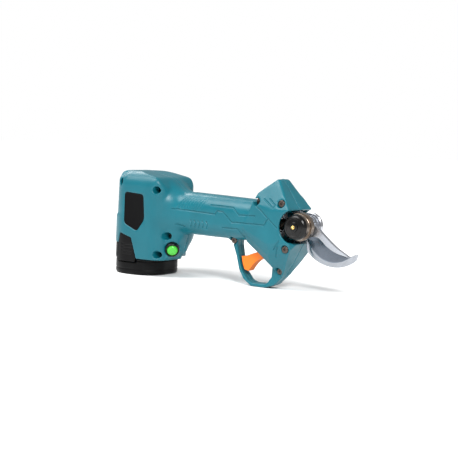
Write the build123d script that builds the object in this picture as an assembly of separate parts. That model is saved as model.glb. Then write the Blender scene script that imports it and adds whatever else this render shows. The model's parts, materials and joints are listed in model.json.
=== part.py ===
from build123d import *
import math
import os

os.makedirs("parts", exist_ok=True)

# A battery electric pruner, in millimetres. X runs forward from the battery housing to the
# blades, Y is across, and Z is up from the ground that the battery and trigger guard stand on.
# The model is drawn from its rear end at X = 0 and moved by half its length when exported.
LENGTH = 265.0
ORIGIN_SHIFT = Pos(-LENGTH / 2, 0, 0)

# Shells
WALL = 2.5
HOUSING_HALF_WIDTH = 32.0
HOUSING_CORNER = 15.0
HOUSING_TOP = 103.7
HEAD_TOP = 103.7
DIAGONAL = (0.81, 0.0, -0.586)
RIM_Z = 16.5
REAR_RIM_Z = 31.0
CHIN_HALF_WIDTH = 23.0
# Handle sections: X, lowest Z, highest Z, half width, corner radius
HANDLE_REAR = (86.0, 43.4, 85.3, 18.5, 15.0)
HANDLE_FRONT = (176.0, 43.2, 81.8, 19.0, 14.0)
HEAD_HALF_WIDTH = 22.5
GUARD_HALF_WIDTH = 6.5
SCREW_HEAD_R = 3.3
SCREW_SHANK_R = 1.5
BORE_R = 3.6
BOSS_R = 4.2

# Blade pivot and drive axis
PIVOT_X = 212.0
AXIS_Z = 61.0
RECESS_R = 16.0
BOLT_R = 5.0
RUNNING_FIT = 0.05

# Blades: the moving blade on the right of the contact plane, the hook blade on its left
MOVING_Y = (-3.0, 0.95)
FIXED_Y = (1.05, 5.5)

# Bevel gears
BEVEL_MODULE = 1.25
PINION_TEETH = 8
SECTOR_FULL_TEETH = 21
SECTOR_TEETH = 8
BEVEL_FACE = 4.0
BEVEL_ADDENDUM = 0.85
BEVEL_DEDENDUM = 1.2
BEVEL_BACKLASH = 0.30
BEVEL_PRESSURE = 25.0

# Planetary stage
PLANET_MODULE = 0.7
SUN_TEETH = 12
PLANET_TEETH = 12
RING_TEETH = 36
PLANET_COUNT = 3
SPUR_BACKLASH = 0.16
SPUR_PRESSURE = 20.0

# Proportions of the bevel gears' pitch cones
PINION_PITCH_R = PINION_TEETH * BEVEL_MODULE / 2
SECTOR_PITCH_R = SECTOR_FULL_TEETH * BEVEL_MODULE / 2
CONE_DISTANCE = math.hypot(PINION_PITCH_R, SECTOR_PITCH_R)
CONE_ANGLE = math.atan2(PINION_PITCH_R, SECTOR_PITCH_R)
SMALL_END = 1 - BEVEL_FACE / CONE_DISTANCE
RIVET_CIRCLE_R = 6.9
RIVET_R = 1.25

# Stations along the drive axis
MOTOR_REAR_X = 98.0
MOTOR_FRONT_X = 134.0
RING_REAR_X = 138.0
RING_FRONT_X = 152.0
GEAR_REAR_X = 140.5
GEAR_WIDTH = 8.0
NOSE_FRONT_X = 186.0
MOTOR_R = 14.0
CORE_X = (105.0, 127.0)
SLOT_COUNT = 9
ROTOR_R = 1.6
GEARBOX_R = 15.0
SHAFT_R = 4.0
CARRIER_REAR_X = GEAR_REAR_X + GEAR_WIDTH + 0.6
CARRIER_FRONT_X = CARRIER_REAR_X + 3.6
PLANET_PIN_R = 1.5
BEARING_R = 9.5
BEARING_PLACES = ((153.7, 158.7), (NOSE_FRONT_X - 5.1, NOSE_FRONT_X - 0.1))

# Trigger
TRIGGER_X = 173.5
TRIGGER_Z = 37.5
TRIGGER_HALF_WIDTH = 4.9
TRIGGER_PIN_R = 1.5
TRIGGER_ROOT = ((172.4, 27.6), (177.6, 31.0), (178.2, 40.5), (172.0, 41.6), (165.2, 33.6))

# Power button
BUTTON_CENTRE = (73.5, -18.2, 27.0)
BUTTON_AXIS = (0.597, -0.696, -0.398)
BUTTON_R = 5.4

CONTROL_BOARD_TOP = 89.6

# Battery pack
PACK_FRONT_X = 57.0
PACK_HALF_WIDTH = 30.5
PACK_CORNER = 14.0
TOWER_X = (8.0, 50.0)
TOWER_HALF_WIDTH = 21.0
TOWER_TOP = 77.0
CELL_R = 9.1
CELL_LENGTH = 65.0
PACK_SPLIT_Z = 14.0
PACK_TOP_Z = RIM_Z - 0.3
PACK_SCREWS = ((12.0, -25.0), (12.0, 25.0), (46.0, -25.0), (46.0, 25.0))
CELL_BASE_Z = 4.3
CELL_PITCH = 18.8
BAY_CENTRE_X = (TOWER_X[0] + TOWER_X[1]) / 2
TERMINAL_Y = (-9.0, -3.0, 3.0, 9.0)

# Shell screws: place in X and Z, then the Y where the head seats and the shank's length.
# Head bolts: place, then the seats of the head and of the nut.
SHELL_SCREWS = {
    (14.0, 92.0): (-12.0, 16.0),
    (60.0, 86.0): (-12.0, 16.0),
    (68.5, 41.0): (-12.0, 16.0),
    (62.0, 22.3): (-12.0, 16.0),
    (169.2, 81.8): (-12.0, 16.0),
    (137.6, 42.2): (-4.3, 9.0),
    (190.5, 17.5): (-5.0, 9.0),
}
HEAD_BOLTS = {(196.0, 81.3): (-17.0, 15.0), (203.0, 40.0): (-19.5, 18.5)}
BOLT_HOLE_R = 2.05
BEZEL_R = 7.2
TANG_SKIN = 1.2


def write(shape, name):
    export_step(ORIGIN_SHIFT * shape, f"parts/{name}.step")


def prism(points, y0, y1):
    """A closed outline in X and Z, extruded from y0 to y1."""
    face = make_face(Plane.XZ * Polyline(*points, close=True))
    return Pos(0, y0, 0) * extrude(face, amount=y1 - y0, dir=(0, 1, 0))


def rounded_prism(points, radius, y0, y1):
    """The same with its corners rounded by the radius, or by a list of radii."""
    face = make_face(Plane.XZ * FilletPolyline(*points, radius=radius, close=True))
    return Pos(0, y0, 0) * extrude(face, amount=y1 - y0, dir=(0, 1, 0))


def curve_prism(curves, y0, y1):
    """An outline of several lines and curves in X and Z, extruded from y0 to y1."""
    edges = [edge for curve in curves for edge in curve.edges()]
    face = make_face(Plane.XZ * Wire(edges))
    return Pos(0, y0, 0) * extrude(face, amount=y1 - y0, dir=(0, 1, 0))


def cross_rod(x, z, radius, y0, y1):
    """A cylinder along Y."""
    return Pos(x, (y0 + y1) / 2, z) * Rot(90, 0, 0) * Cylinder(radius, abs(y1 - y0))


def axial_rod(radius, x0, x1, y=0.0, z=AXIS_Z):
    """A cylinder along X, on the drive axis unless placed elsewhere."""
    return Pos((x0 + x1) / 2, y, z) * Rot(0, 90, 0) * Cylinder(radius, x1 - x0)


def axial_tube(outer, inner, x0, x1, y=0.0, z=AXIS_Z):
    return axial_rod(outer, x0, x1, y, z) - axial_rod(inner, x0 - 1, x1 + 1, y, z)


def cross_tube(x, z, outer, inner, y0, y1):
    return cross_rod(x, z, outer, y0, y1) - cross_rod(x, z, inner, y0 - 1, y1 + 1)


def block(x0, x1, y0, y1, z0, z1):
    return Pos((x0 + x1) / 2, (y0 + y1) / 2, (z0 + z1) / 2) * Box(x1 - x0, y1 - y0, z1 - z0)


def both_sides(shape):
    """A shape on the left and its mirror image on the right."""
    return shape + mirror(shape, Plane.XZ)


# ---------------------------------------------------------------- outer form of the shells

def housing_form(inset):
    """The upright battery housing: its side, plan and front outlines, crossed."""
    i = inset
    half = HOUSING_HALF_WIDTH - i
    side = [(i, RIM_Z - 5), (i, 57.5), (2.0 + i, 60.5), (3.4 + i, 94.0), (9.5 + i, HOUSING_TOP - i),
            (33.0, HOUSING_TOP - i), (60.0 - i, 98.2 - i), (67.5 - i, 88.0 - i), (68.0 - i, RIM_Z - 5)]
    body = rounded_prism(side, [0.5, 0.8, 0.8, 7, 7, 30, 7, 7, 0.5], -half, half)
    plan = Pos(34, 0, 0) * extrude(RectangleRounded(68 - 2 * i, 2 * half, HOUSING_CORNER - i), amount=120)
    front_sketch = Plane.YZ * Pos(0, 48) * RectangleRounded(2 * half, 2 * (HOUSING_TOP - 48 - i), 15 - i)
    return body & plan & extrude(front_sketch, amount=120, dir=(1, 0, 0))


def chin_form(inset):
    """The lower front of the housing, which leans forward under the handle."""
    i = inset
    side = [(40, RIM_Z), (66 - i, RIM_Z), (74.5 - i, 24.0 + i * 0.6), (80.5 - i, 46), (76, 62), (40, 62)]
    body = rounded_prism(side, [0.5, 6, 6, 6, 6, 0.5], -CHIN_HALF_WIDTH + i, CHIN_HALF_WIDTH - i)
    plan = RectangleRounded(2 * (80 - i), 2 * (CHIN_HALF_WIDTH - i), 20 - i)
    return body & extrude(plan, amount=120)


def section(x, z0, z1, half, corner, inset):
    """A rounded rectangle across the tool at x."""
    sketch = RectangleRounded(2 * (half - inset), z1 - z0 - 2 * inset, corner - inset)
    return Plane(origin=(x, 0, (z0 + z1) / 2), x_dir=(0, 1, 0), z_dir=(1, 0, 0)) * sketch


def blend_form(inset):
    """The flare from the housing front into the handle."""
    stations = [(60, 31.0, 98.0, 29.5, 24), (67, 35.0, 92.5, 25.0, 22), (75, 40.5, 87.0, 20.3, 18)]
    sections = [section(x, z0, z1, half, corner, inset) for x, z0, z1, half, corner in stations]
    return loft(sections + [section(*HANDLE_REAR, inset)])


def handle_form(inset):
    """The hand grip, tapering slightly towards the head."""
    return loft([section(*HANDLE_REAR, inset), section(*HANDLE_FRONT, inset)], ruled=True)


def head_form(inset):
    """The faceted head: side outline crossed with the outlines that taper it."""
    i = inset
    half = HEAD_HALF_WIDTH - i
    side = [(156.5 + i, 43.0 + i), (161 + i, 39.0 + i), (170 + i, 32.6 + i), (186 + i, 18.5 + i),
            (190.5, 12.0 + i), (193.5 - i, 13.0 + i), (200.0 - i, 24.0), (211.5 - i, 46.5), (211.5 - i, 67.6),
            (189.0 - i, 100.8 - i), (187.0 - 0.6 * i, HEAD_TOP - i), (184.8 - 0.4 * i, HEAD_TOP - i),
            (168.2 + i, 89.5 - i), (165.8 + i, 82.5 - i), (155.5 + i, 58.0)]
    body = prism(side, -half, half)
    front = [(-half, 44), (-20 + i, 35), (-15.5 + i, 26.5), (-9.5 + i, 17), (-GUARD_HALF_WIDTH + i, 8)]
    front += [(-y, z) for y, z in reversed(front)]
    crown = [(half, 75.5), (10.2 - i, 102.5 - i), (8.5 - i, 106)]
    front += crown + [(-y, z) for y, z in reversed(crown)]
    front_mask = extrude(Plane.YZ * make_face(Polyline(*front, close=True)), amount=230, dir=(1, 0, 0))
    slope = Plane(origin=(151, 0, 43.4), x_dir=(0, 1, 0), z_dir=DIAGONAL)
    keel = [(9 - i, i), (14 - i, 3.5 + i), (18.5 - i, 10 + i), (half, 20), (half, 120)]
    keel_face = make_face(Polyline(*keel, *[(-y, z) for y, z in reversed(keel)], close=True))
    keel_mask = extrude(slope * Pos(0, 0, -60) * keel_face, amount=150, dir=DIAGONAL)
    plan = [(140, 17.6 - i), (186, half), (207 - i, half), (210.5 - i, 14), (211.8 - i, 5)]
    plan_face = make_face(Polyline(*plan, *[(x, -y) for x, y in reversed(plan)], close=True))
    return body & front_mask & keel_mask & extrude(plan_face, amount=120, dir=(0, 0, 1))


def guard_form():
    """The trigger guard loop under the handle."""
    outside = [(128, 46), (131.0, 43.4), (136.6, 38.9), (140.9, 28.0), (144.5, 15.0), (149.6, 6.2),
               (158.5, 0.0), (174.5, 0.0), (184.5, 3.6), (192.5, 11.5), (199.5, 23.0), (196, 34), (186, 34)]
    inside = [(181.5, 24.5), (181.2, 11.0), (175.5, 3.6), (160.5, 3.2), (154.6, 5.4), (148.9, 12.4),
              (147.2, 16.5), (143.7, 28.0), (141.9, 38.0), (142.4, 46)]
    return rounded_prism(outside + inside, 1.2, -GUARD_HALF_WIDTH, GUARD_HALF_WIDTH)


def latch_outline(grow):
    """The side panel that releases the battery, and the housing's cut-out for it."""
    g = grow
    return [(13.5 - g, 13.0 - g), (13.5 - g, 31.5), (17.0 - g, 41.0 + g),
            (31.2 + g, 36.6 + g), (38.0 + g, 17.0), (37.0 + g, 13.0 - g)]


def shell_cutters():
    """Everything that opens the shells: battery bay, blade recess, slots, bores and holes."""
    cuts = block(-5, 70, -40, 40, 0, RIM_Z)
    cuts += block(-2, 14.2, -40, 40, 0, REAR_RIM_Z)
    cuts += prism(latch_outline(0.35), -40, 40)
    cuts += cross_rod(PIVOT_X, AXIS_Z, RECESS_R, -40, 40)
    cuts += rounded_prism([(157, 24), (180.5, 24), (182, 34), (181, 45.2), (160, 45.2)], 1.5, -5.3, 5.3)
    for (x, z), (seat, length) in SHELL_SCREWS.items():
        cuts += cross_rod(x, z, BORE_R, -40, seat)
        cuts += cross_rod(x, z, SCREW_SHANK_R + 0.1, seat - 1, 0.01)
        cuts += cross_rod(x, z, SCREW_SHANK_R, -0.01, seat + length + 0.5)
    for (x, z), (near, far) in HEAD_BOLTS.items():
        cuts += cross_rod(x, z, BOLT_HOLE_R, -40, 40)
        cuts += cross_rod(x, z, 3.9, -40, near)
        cuts += cross_rod(x, z, 4.5, far, 40)
    cuts += along_button(BEZEL_R + 0.05, -9, 12)
    cuts += tang_slot()
    cuts += cross_rod(TRIGGER_X, TRIGGER_Z, TRIGGER_PIN_R, -13.5, 13.5)
    for y in TERMINAL_Y:
        cuts += block(19.5, 38.5, y - 0.9, y + 0.9, 78, 82)
    for side in (-1, 1):
        cuts += badge(side, 0.1, 40)
    return cuts


def tang_slot():
    """The gap in the bolt posts that the hook blade's tang fills."""
    tang = [(182, 30), (210, 30), (210, 92), (182, 92)]
    return prism(tang, FIXED_Y[0] - 0.03, FIXED_Y[1] + 0.03) - housing_skin()


def housing_skin():
    """The head's wall, which the tang slot must not pierce."""
    return head_form(0) - head_form(TANG_SKIN)


def badge(side, grow, outer_y):
    """The plain plate set in each side of the housing, or its pocket when grown."""
    g = grow
    outline = [(22.0 - g, 51.0), (22.0 - g, 82.5 + g), (45.5 + g, 81.0 + g), (47.5 + g, 56.0), (38.5, 44.0 - g)]
    plate = rounded_prism(outline, 3.0, HOUSING_HALF_WIDTH - 1.3, outer_y)
    return plate if side > 0 else mirror(plate, Plane.XZ)


def along_button(radius, start, end):
    """A cylinder along the power button's axis, from start to end beyond the surface."""
    plane = Plane(origin=BUTTON_CENTRE, z_dir=BUTTON_AXIS)
    return plane * Pos(0, 0, (start + end) / 2) * Cylinder(radius, end - start)


def shell_bosses():
    """Inner posts for the screws, cradles for the drive and the bay's inner walls."""
    bosses = block(PACK_FRONT_X + 0.5, PACK_FRONT_X + 2.5, -31, 31, RIM_Z, 81)
    bosses += block(1, PACK_FRONT_X + 2.5, -31, 31, 79, 81)
    bosses += block(PACK_FRONT_X + 1, 80, -31, 31, RIM_Z, RIM_Z + WALL)
    for (x, z), (near, far) in HEAD_BOLTS.items():
        bosses += cross_rod(x, z, 5.2, near - 1.5, far + 1.5)
    for (x, z), (seat, length) in SHELL_SCREWS.items():
        if seat < -8:
            bosses += cross_rod(x, z, BOSS_R, seat - 24, seat + length + 3)
        else:
            boss = cross_rod(x, z, BOSS_R, -GUARD_HALF_WIDTH, GUARD_HALF_WIDTH)
            bosses += boss & block(x - 9, x + 9, -10, 10, z - 9, HANDLE_REAR[1] + WALL - 0.2)
    for side in (-1, 1):
        bosses += cross_rod(TRIGGER_X, TRIGGER_Z, 3.6, side * 7.9, side * 21)
        bosses += block(171, 177, min(side * 5.4, side * 21), max(side * 5.4, side * 21), 41.7, 43.3)
    for x in (101.0, 128.0, 143.0, 158.0, 180.0):
        radius = MOTOR_R if x < MOTOR_FRONT_X else GEARBOX_R
        web = block(x - 1, x + 1, -22, 22, 43, 86)
        bosses += web - axial_rod(radius + 0.02, x - 3, x + 3)
    return bosses


def shells():
    """The left and right halves of the housing, handle, head and guard."""
    outer = housing_form(0) + chin_form(0) + blend_form(0) + handle_form(0) + head_form(0)
    inner = housing_form(WALL) + chin_form(WALL) + blend_form(WALL) + handle_form(WALL) + head_form(WALL)
    whole = (outer - inner) + (shell_bosses() & outer) + (guard_form() - inner) - shell_cutters()
    left = whole & block(-10, 280, 0, 60, -10, 120)
    right = whole & block(-10, 280, -60, 0, -10, 120)
    return biggest(left), biggest(right)


def biggest(shape):
    """The largest solid of a shape, so that no loose shavings are left."""
    return max(shape.solids(), key=lambda s: s.volume)


# ---------------------------------------------------------------- gears

def toothed_outline(teeth, module, pressure, backlash, addendum, dedendum):
    """The corner points of an external involute gear, with a tooth centred on the x axis."""
    pitch_r = teeth * module / 2
    base_r = pitch_r * math.cos(math.radians(pressure))
    tip_r, root_r = pitch_r + addendum, pitch_r - dedendum
    flank = involute_flank(pitch_r, base_r, max(base_r, root_r), tip_r, math.pi * module / 2 - backlash)
    points = []
    for tooth in range(teeth):
        turn = tooth * 2 * math.pi / teeth
        right = [(r, turn - half) for r, half in flank]
        left = [(r, turn + half) for r, half in reversed(flank)]
        foot = flank[0][1]
        polar = [(root_r, turn - foot)] + right + left + [(root_r, turn + foot)]
        if root_r >= base_r:
            polar = right + left
        points += [(r * math.cos(t), r * math.sin(t)) for r, t in polar]
    return points


def involute_flank(pitch_r, base_r, start_r, tip_r, thickness, steps=5):
    """Radius and half angle of a tooth from its start to its tip."""
    def roll(r):
        return math.tan(math.acos(min(1.0, base_r / r))) - math.acos(min(1.0, base_r / r))
    half_at_pitch = thickness / 2 / pitch_r
    radii = [start_r + (tip_r - start_r) * k / steps for k in range(steps + 1)]
    return [(r, half_at_pitch + roll(pitch_r) - roll(r)) for r in radii]


def spur_gear(teeth, x0, x1, turn=0.0):
    """An external gear of the planetary stage, on the drive axis."""
    outline = toothed_outline(teeth, PLANET_MODULE, SPUR_PRESSURE, SPUR_BACKLASH, 0.65, 0.85)
    face = make_face(Polyline(*outline, close=True))
    return axial(extrude(Rot(0, 0, turn) * face, amount=x1 - x0), x0)


def axial(shape, x0):
    """Lay a shape drawn along Z on the drive axis, from x0 forward, its x axis pointing up."""
    return Plane(origin=(x0, 0, AXIS_Z), x_dir=(0, 0, 1), z_dir=(1, 0, 0)) * shape


def ring_gear():
    """The fixed internal gear: its teeth are the gaps of a slightly larger external gear."""
    gaps = toothed_outline(RING_TEETH, PLANET_MODULE, SPUR_PRESSURE, -SPUR_BACKLASH, 0.85, 0.40)
    turned = Rot(0, 0, 180 / RING_TEETH) * make_face(Polyline(*gaps, close=True))
    toothed = axial(extrude(turned, amount=GEAR_WIDTH + 1.5), GEAR_REAR_X - 0.75)
    body = axial_rod(GEARBOX_R, RING_REAR_X, RING_FRONT_X)
    clear = axial_rod(13.6, RING_REAR_X - 1, GEAR_REAR_X - 0.7)
    clear += axial_rod(13.6, GEAR_REAR_X + GEAR_WIDTH + 0.3, RING_FRONT_X + 1)
    return body - toothed - clear


def planet_place(index):
    """Where a planet turns: up from the drive axis for the first, then a third of a turn each."""
    orbit = (SUN_TEETH + PLANET_TEETH) * PLANET_MODULE / 2
    angle = math.radians(index * 360 / PLANET_COUNT)
    return -orbit * math.sin(angle), AXIS_Z + orbit * math.cos(angle)


def planet_gear(index):
    """One planet, its tooth gaps facing the sun and the ring gear's teeth."""
    orbit = (SUN_TEETH + PLANET_TEETH) * PLANET_MODULE / 2
    outline = toothed_outline(PLANET_TEETH, PLANET_MODULE, SPUR_PRESSURE, SPUR_BACKLASH, 0.65, 0.85)
    face = make_face(Polyline(*outline, close=True)) - Circle(PLANET_PIN_R + RUNNING_FIT)
    gear = Rot(0, 0, index * 360 / PLANET_COUNT) * Pos(orbit, 0, 0) * Rot(0, 0, 180 / PLANET_TEETH) * face
    return axial(extrude(gear, amount=GEAR_WIDTH), GEAR_REAR_X)


def bevel_tooth(profile, along, outward, sideways):
    """A tooth that narrows towards the cones' common tip, from its profile at the large end."""
    apex = Vector(PIVOT_X, 0, AXIS_Z)
    ends = []
    for scale in (1.0, SMALL_END):
        points = [apex + (along * CONE_DISTANCE + outward * h + sideways * s) * scale for s, h in profile]
        ends.append(Face(Wire.make_polygon(points)))
    return Solid.make_loft([ends[0].outer_wire(), ends[1].outer_wire()], ruled=True)


def sector_profile():
    """A straight sided tooth, as the wide gear's teeth nearly are."""
    half = math.pi * BEVEL_MODULE / 4 - BEVEL_BACKLASH / 4
    lean = math.tan(math.radians(BEVEL_PRESSURE))
    foot, tip = -BEVEL_DEDENDUM - 0.4, BEVEL_ADDENDUM
    right = [(half - lean * foot, foot), (half - lean * tip, tip)]
    return [(-s, h) for s, h in right[:1]] + right + [(-s, h) for s, h in right[1:]]


def pinion_profile():
    """An involute tooth of the pinion's equivalent spur gear."""
    pitch_r = PINION_PITCH_R / math.cos(CONE_ANGLE)
    base_r = pitch_r * math.cos(math.radians(BEVEL_PRESSURE))
    thickness = math.pi * BEVEL_MODULE / 2 - BEVEL_BACKLASH / 2
    flank = involute_flank(pitch_r, base_r, base_r, pitch_r + BEVEL_ADDENDUM, thickness, 4)
    side = [(r * math.sin(half), r * math.cos(half) - pitch_r) for r, half in flank]
    foot = (side[0][0] * 0.92, -BEVEL_DEDENDUM - 0.4)
    return [foot] + side + [(-s, h) for s, h in reversed([foot] + side)]


def bevel_sector():
    """The gear fixed to the moving blade: a round hub with teeth round its rear."""
    tilt_out = (math.sin(CONE_ANGLE), math.cos(CONE_ANGLE))
    root = [(SECTOR_PITCH_R - BEVEL_DEDENDUM * tilt_out[0], -PINION_PITCH_R - BEVEL_DEDENDUM * tilt_out[1])]
    root.append((root[0][0] * SMALL_END, root[0][1] * SMALL_END))
    hub = [(root[0][0] + 0.3, -7.6), (root[0][0] + 0.3, -12.0), (BOLT_R + RUNNING_FIT, -12.0)]
    outline = [(BOLT_R + RUNNING_FIT, MOVING_Y[0]), (8.8, MOVING_Y[0]), root[1], root[0]] + hub
    face = make_face(Polyline(*[(r, y, 0) for r, y in outline], close=True))
    gear = Pos(PIVOT_X, 0, AXIS_Z) * revolve(face, axis=Axis.Y)
    pitch_angle = 360 / SECTOR_FULL_TEETH
    for k in range(SECTOR_TEETH):
        # half a pitch off the mesh line, where the pinion has a tooth
        turn = math.radians(180 + (1.5 - k) * pitch_angle)
        radial = Vector(math.cos(turn), 0, math.sin(turn))
        sideways = Vector(-math.sin(turn), 0, math.cos(turn))
        along = radial * math.cos(CONE_ANGLE) + Vector(0, -math.sin(CONE_ANGLE), 0)
        outward = radial * math.sin(CONE_ANGLE) + Vector(0, math.cos(CONE_ANGLE), 0)
        gear += bevel_tooth(sector_profile(), along, outward, sideways)
    for x, z in rivet_places():
        gear -= cross_rod(x, z, RIVET_R, -12.5, MOVING_Y[0] + 1)
    return gear


def rivet_places():
    """Three rivets hold the sector on the moving blade."""
    turns = [math.radians(a) for a in (-20, 100, 220)]
    return [(PIVOT_X + RIVET_CIRCLE_R * math.cos(a), AXIS_Z + RIVET_CIRCLE_R * math.sin(a)) for a in turns]


def output_pinion():
    """The bevel pinion, its shaft and the key flat in one turned piece."""
    root_r = PINION_PITCH_R - BEVEL_DEDENDUM * math.cos(CONE_ANGLE)
    root_x = SECTOR_PITCH_R + BEVEL_DEDENDUM * math.sin(CONE_ANGLE)
    large_x, small_x = PIVOT_X - root_x, PIVOT_X - root_x * SMALL_END
    back_x = large_x - 1.6
    outline = [(back_x, 0), (back_x, root_r), (large_x, root_r), (small_x, root_r * SMALL_END), (small_x, 0)]
    face = make_face(Polyline(*[(x, r, 0) for x, r in outline], close=True))
    gear = Pos(0, 0, AXIS_Z) * revolve(face, axis=Axis.X)
    for k in range(PINION_TEETH):
        # a tooth points at the sector along the mesh line
        turn = 2 * math.pi * k / PINION_TEETH
        radial = Vector(0, -math.cos(turn), math.sin(turn))
        sideways = Vector(0, math.sin(turn), math.cos(turn))
        along = Vector(-math.cos(CONE_ANGLE), 0, 0) + radial * math.sin(CONE_ANGLE)
        outward = Vector(math.sin(CONE_ANGLE), 0, 0) + radial * math.cos(CONE_ANGLE)
        gear += bevel_tooth(pinion_profile(), along, outward, sideways)
    shaft = axial_rod(SHAFT_R, CARRIER_FRONT_X - 3.0, large_x - 1.5)
    collar = axial_rod(5.4, NOSE_FRONT_X + 0.2, back_x)
    return gear + shaft + collar


def planet_carrier():
    """The disc that the planets' pins stand in, pressed on the output shaft."""
    disc = axial_rod(12.6, CARRIER_REAR_X, CARRIER_FRONT_X)
    disc -= axial_rod(SHAFT_R, CARRIER_FRONT_X - 3.0, CARRIER_FRONT_X + 1)
    for k in range(PLANET_COUNT):
        disc -= axial_rod(PLANET_PIN_R, CARRIER_REAR_X - 1, CARRIER_FRONT_X + 1, *planet_place(k))
    return disc


def planet_pins():
    places = [planet_place(k) for k in range(PLANET_COUNT)]
    return Compound([axial_rod(PLANET_PIN_R, GEAR_REAR_X - 0.4, CARRIER_FRONT_X, y, z) for y, z in places])


def gearbox_nose():
    """The metal front housing that carries the output shaft's bearings."""
    outer = axial_rod(GEARBOX_R, RING_FRONT_X, 170) + axial_rod(13.2, 170, NOSE_FRONT_X)
    bore = axial_rod(13.0, RING_FRONT_X - 1, 153.6) + axial_rod(6.0, 153, NOSE_FRONT_X + 1)
    seats = axial_rod(BEARING_R, 153.5, 158.8) + axial_rod(BEARING_R, NOSE_FRONT_X - 5.2, NOSE_FRONT_X + 1)
    return outer - bore - seats


def ball_bearing(x0, x1, outer, inner):
    """A bearing as its outer race, inner race and balls, which do not touch."""
    mid = (x0 + x1) / 2
    width = (outer + inner) / 2
    ball_r = (outer - inner) * 0.26
    groove = Pos(mid, 0, AXIS_Z) * Rot(0, 90, 0) * Torus(width, ball_r + 0.05)
    races = axial_tube(outer, width + ball_r * 0.55, x0, x1) + axial_tube(width - ball_r * 0.55, inner, x0, x1)
    races -= groove
    balls = []
    for k in range(8):
        turn = 2 * math.pi * k / 8
        balls.append(Pos(mid, width * math.cos(turn), AXIS_Z + width * math.sin(turn)) * Sphere(ball_r))
    return Compound(races.solids() + [b.solid() for b in balls])


# ---------------------------------------------------------------- motor

def motor_can():
    can = axial_tube(MOTOR_R, MOTOR_R - 1.2, MOTOR_REAR_X + 1.5, MOTOR_FRONT_X)
    rear = axial_tube(MOTOR_R, 5.0, MOTOR_REAR_X, MOTOR_REAR_X + 1.5)
    for k in range(4):
        turn = math.radians(45 + 90 * k)
        vent_y, vent_z = 9 * math.cos(turn), AXIS_Z + 9 * math.sin(turn)
        rear -= axial_rod(1.6, MOTOR_REAR_X - 1, MOTOR_REAR_X + 2, vent_y, vent_z)
    return can + rear


def stator_core():
    """Laminated teeth inside a yoke."""
    core = axial_tube(MOTOR_R - 1.25, MOTOR_R - 3.2, *CORE_X)
    for k in range(SLOT_COUNT):
        tooth = block(*CORE_X, -0.9, 0.9, AXIS_Z + 7.0, AXIS_Z + 11.5)
        tooth += block(*CORE_X, -2.1, 2.1, AXIS_Z + 7.0, AXIS_Z + 7.9)
        core += about_axis(tooth, k * 360 / SLOT_COUNT)
    return core - axial_rod(7.1, 100, 130)


def about_axis(shape, degrees):
    """Turn a shape about the drive axis."""
    return Pos(0, 0, AXIS_Z) * Rot(degrees, 0, 0) * Pos(0, 0, -AXIS_Z) * shape


def stator_coils():
    """A copper coil round each stator tooth."""
    coils = []
    for k in range(SLOT_COUNT):
        coil = block(CORE_X[0] - 1.6, CORE_X[1] + 1.6, -1.9, 1.9, AXIS_Z + 8.0, AXIS_Z + 10.6)
        coil -= block(*CORE_X, -0.95, 0.95, AXIS_Z + 7, AXIS_Z + 12)
        coils.append(about_axis(coil, k * 360 / SLOT_COUNT).solid())
    return Compound(coils)


def motor_front_plate():
    plate = axial_rod(GEARBOX_R, MOTOR_FRONT_X, RING_REAR_X)
    return plate - axial_rod(5.0, MOTOR_FRONT_X - 1, RING_REAR_X + 1)


def rotor_shaft():
    return axial_rod(ROTOR_R, MOTOR_REAR_X + 0.4, GEAR_REAR_X + GEAR_WIDTH)


def rotor_magnet():
    return axial_tube(6.6, ROTOR_R, 105.5, 126.5)


def sun_gear():
    gear = spur_gear(SUN_TEETH, GEAR_REAR_X - 0.3, GEAR_REAR_X + GEAR_WIDTH)
    return gear - axial_rod(ROTOR_R, GEAR_REAR_X - 2, GEAR_REAR_X + GEAR_WIDTH + 1)


def motor_bearings():
    rear = ball_bearing(MOTOR_REAR_X + 0.1, MOTOR_REAR_X + 3.1, 5.0, ROTOR_R + RUNNING_FIT)
    front = ball_bearing(MOTOR_FRONT_X + 0.3, MOTOR_FRONT_X + 3.3, 5.0, ROTOR_R + RUNNING_FIT)
    return Compound(rear.solids() + front.solids())


# ---------------------------------------------------------------- blades and pivot

def moving_blade():
    """The upper cutting blade, hollow ground on its outer face, with a ring at the pivot."""
    ring = cross_rod(PIVOT_X, AXIS_Z, 8.8, *MOVING_Y)
    edges = [Line((216.6, 68.2), (223.8, 62.6)),
             Spline((223.8, 62.6), (235.8, 52.3), (246.5, 44.1), (259.2, 36.6)),
             Spline((259.2, 36.6), (250.5, 31.6), (240.4, 29.9), (230.0, 32.3), (221.6, 38.2), (216.4, 44.6)),
             Line((216.4, 44.6), (210.6, 52.6)),
             Line((210.6, 52.6), (216.6, 68.2))]
    blade = curve_prism(edges, *MOVING_Y) + ring
    ridge = Spline((226.5, 52.0), (236.5, 44.5), (246.0, 39.0), (256.5, 35.6))
    around = Polyline((256.5, 35.6), (262, 30), (236, 22), (209, 42), (218.0, 50.5), (226.5, 52.0))
    grind = curve_prism([ridge, around], -5.0, MOVING_Y[0] + 1.3)
    blade = blade - grind - cross_rod(PIVOT_X, AXIS_Z, BOLT_R + RUNNING_FIT, -20, 20)
    for x, z in rivet_places():
        blade -= cross_rod(x, z, RIVET_R, -12.5, 3)
    return biggest(blade)


def blade_rivets():
    return Compound([cross_rod(x, z, RIVET_R, -11.8, MOVING_Y[1] - 0.2) for x, z in rivet_places()])


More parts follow.
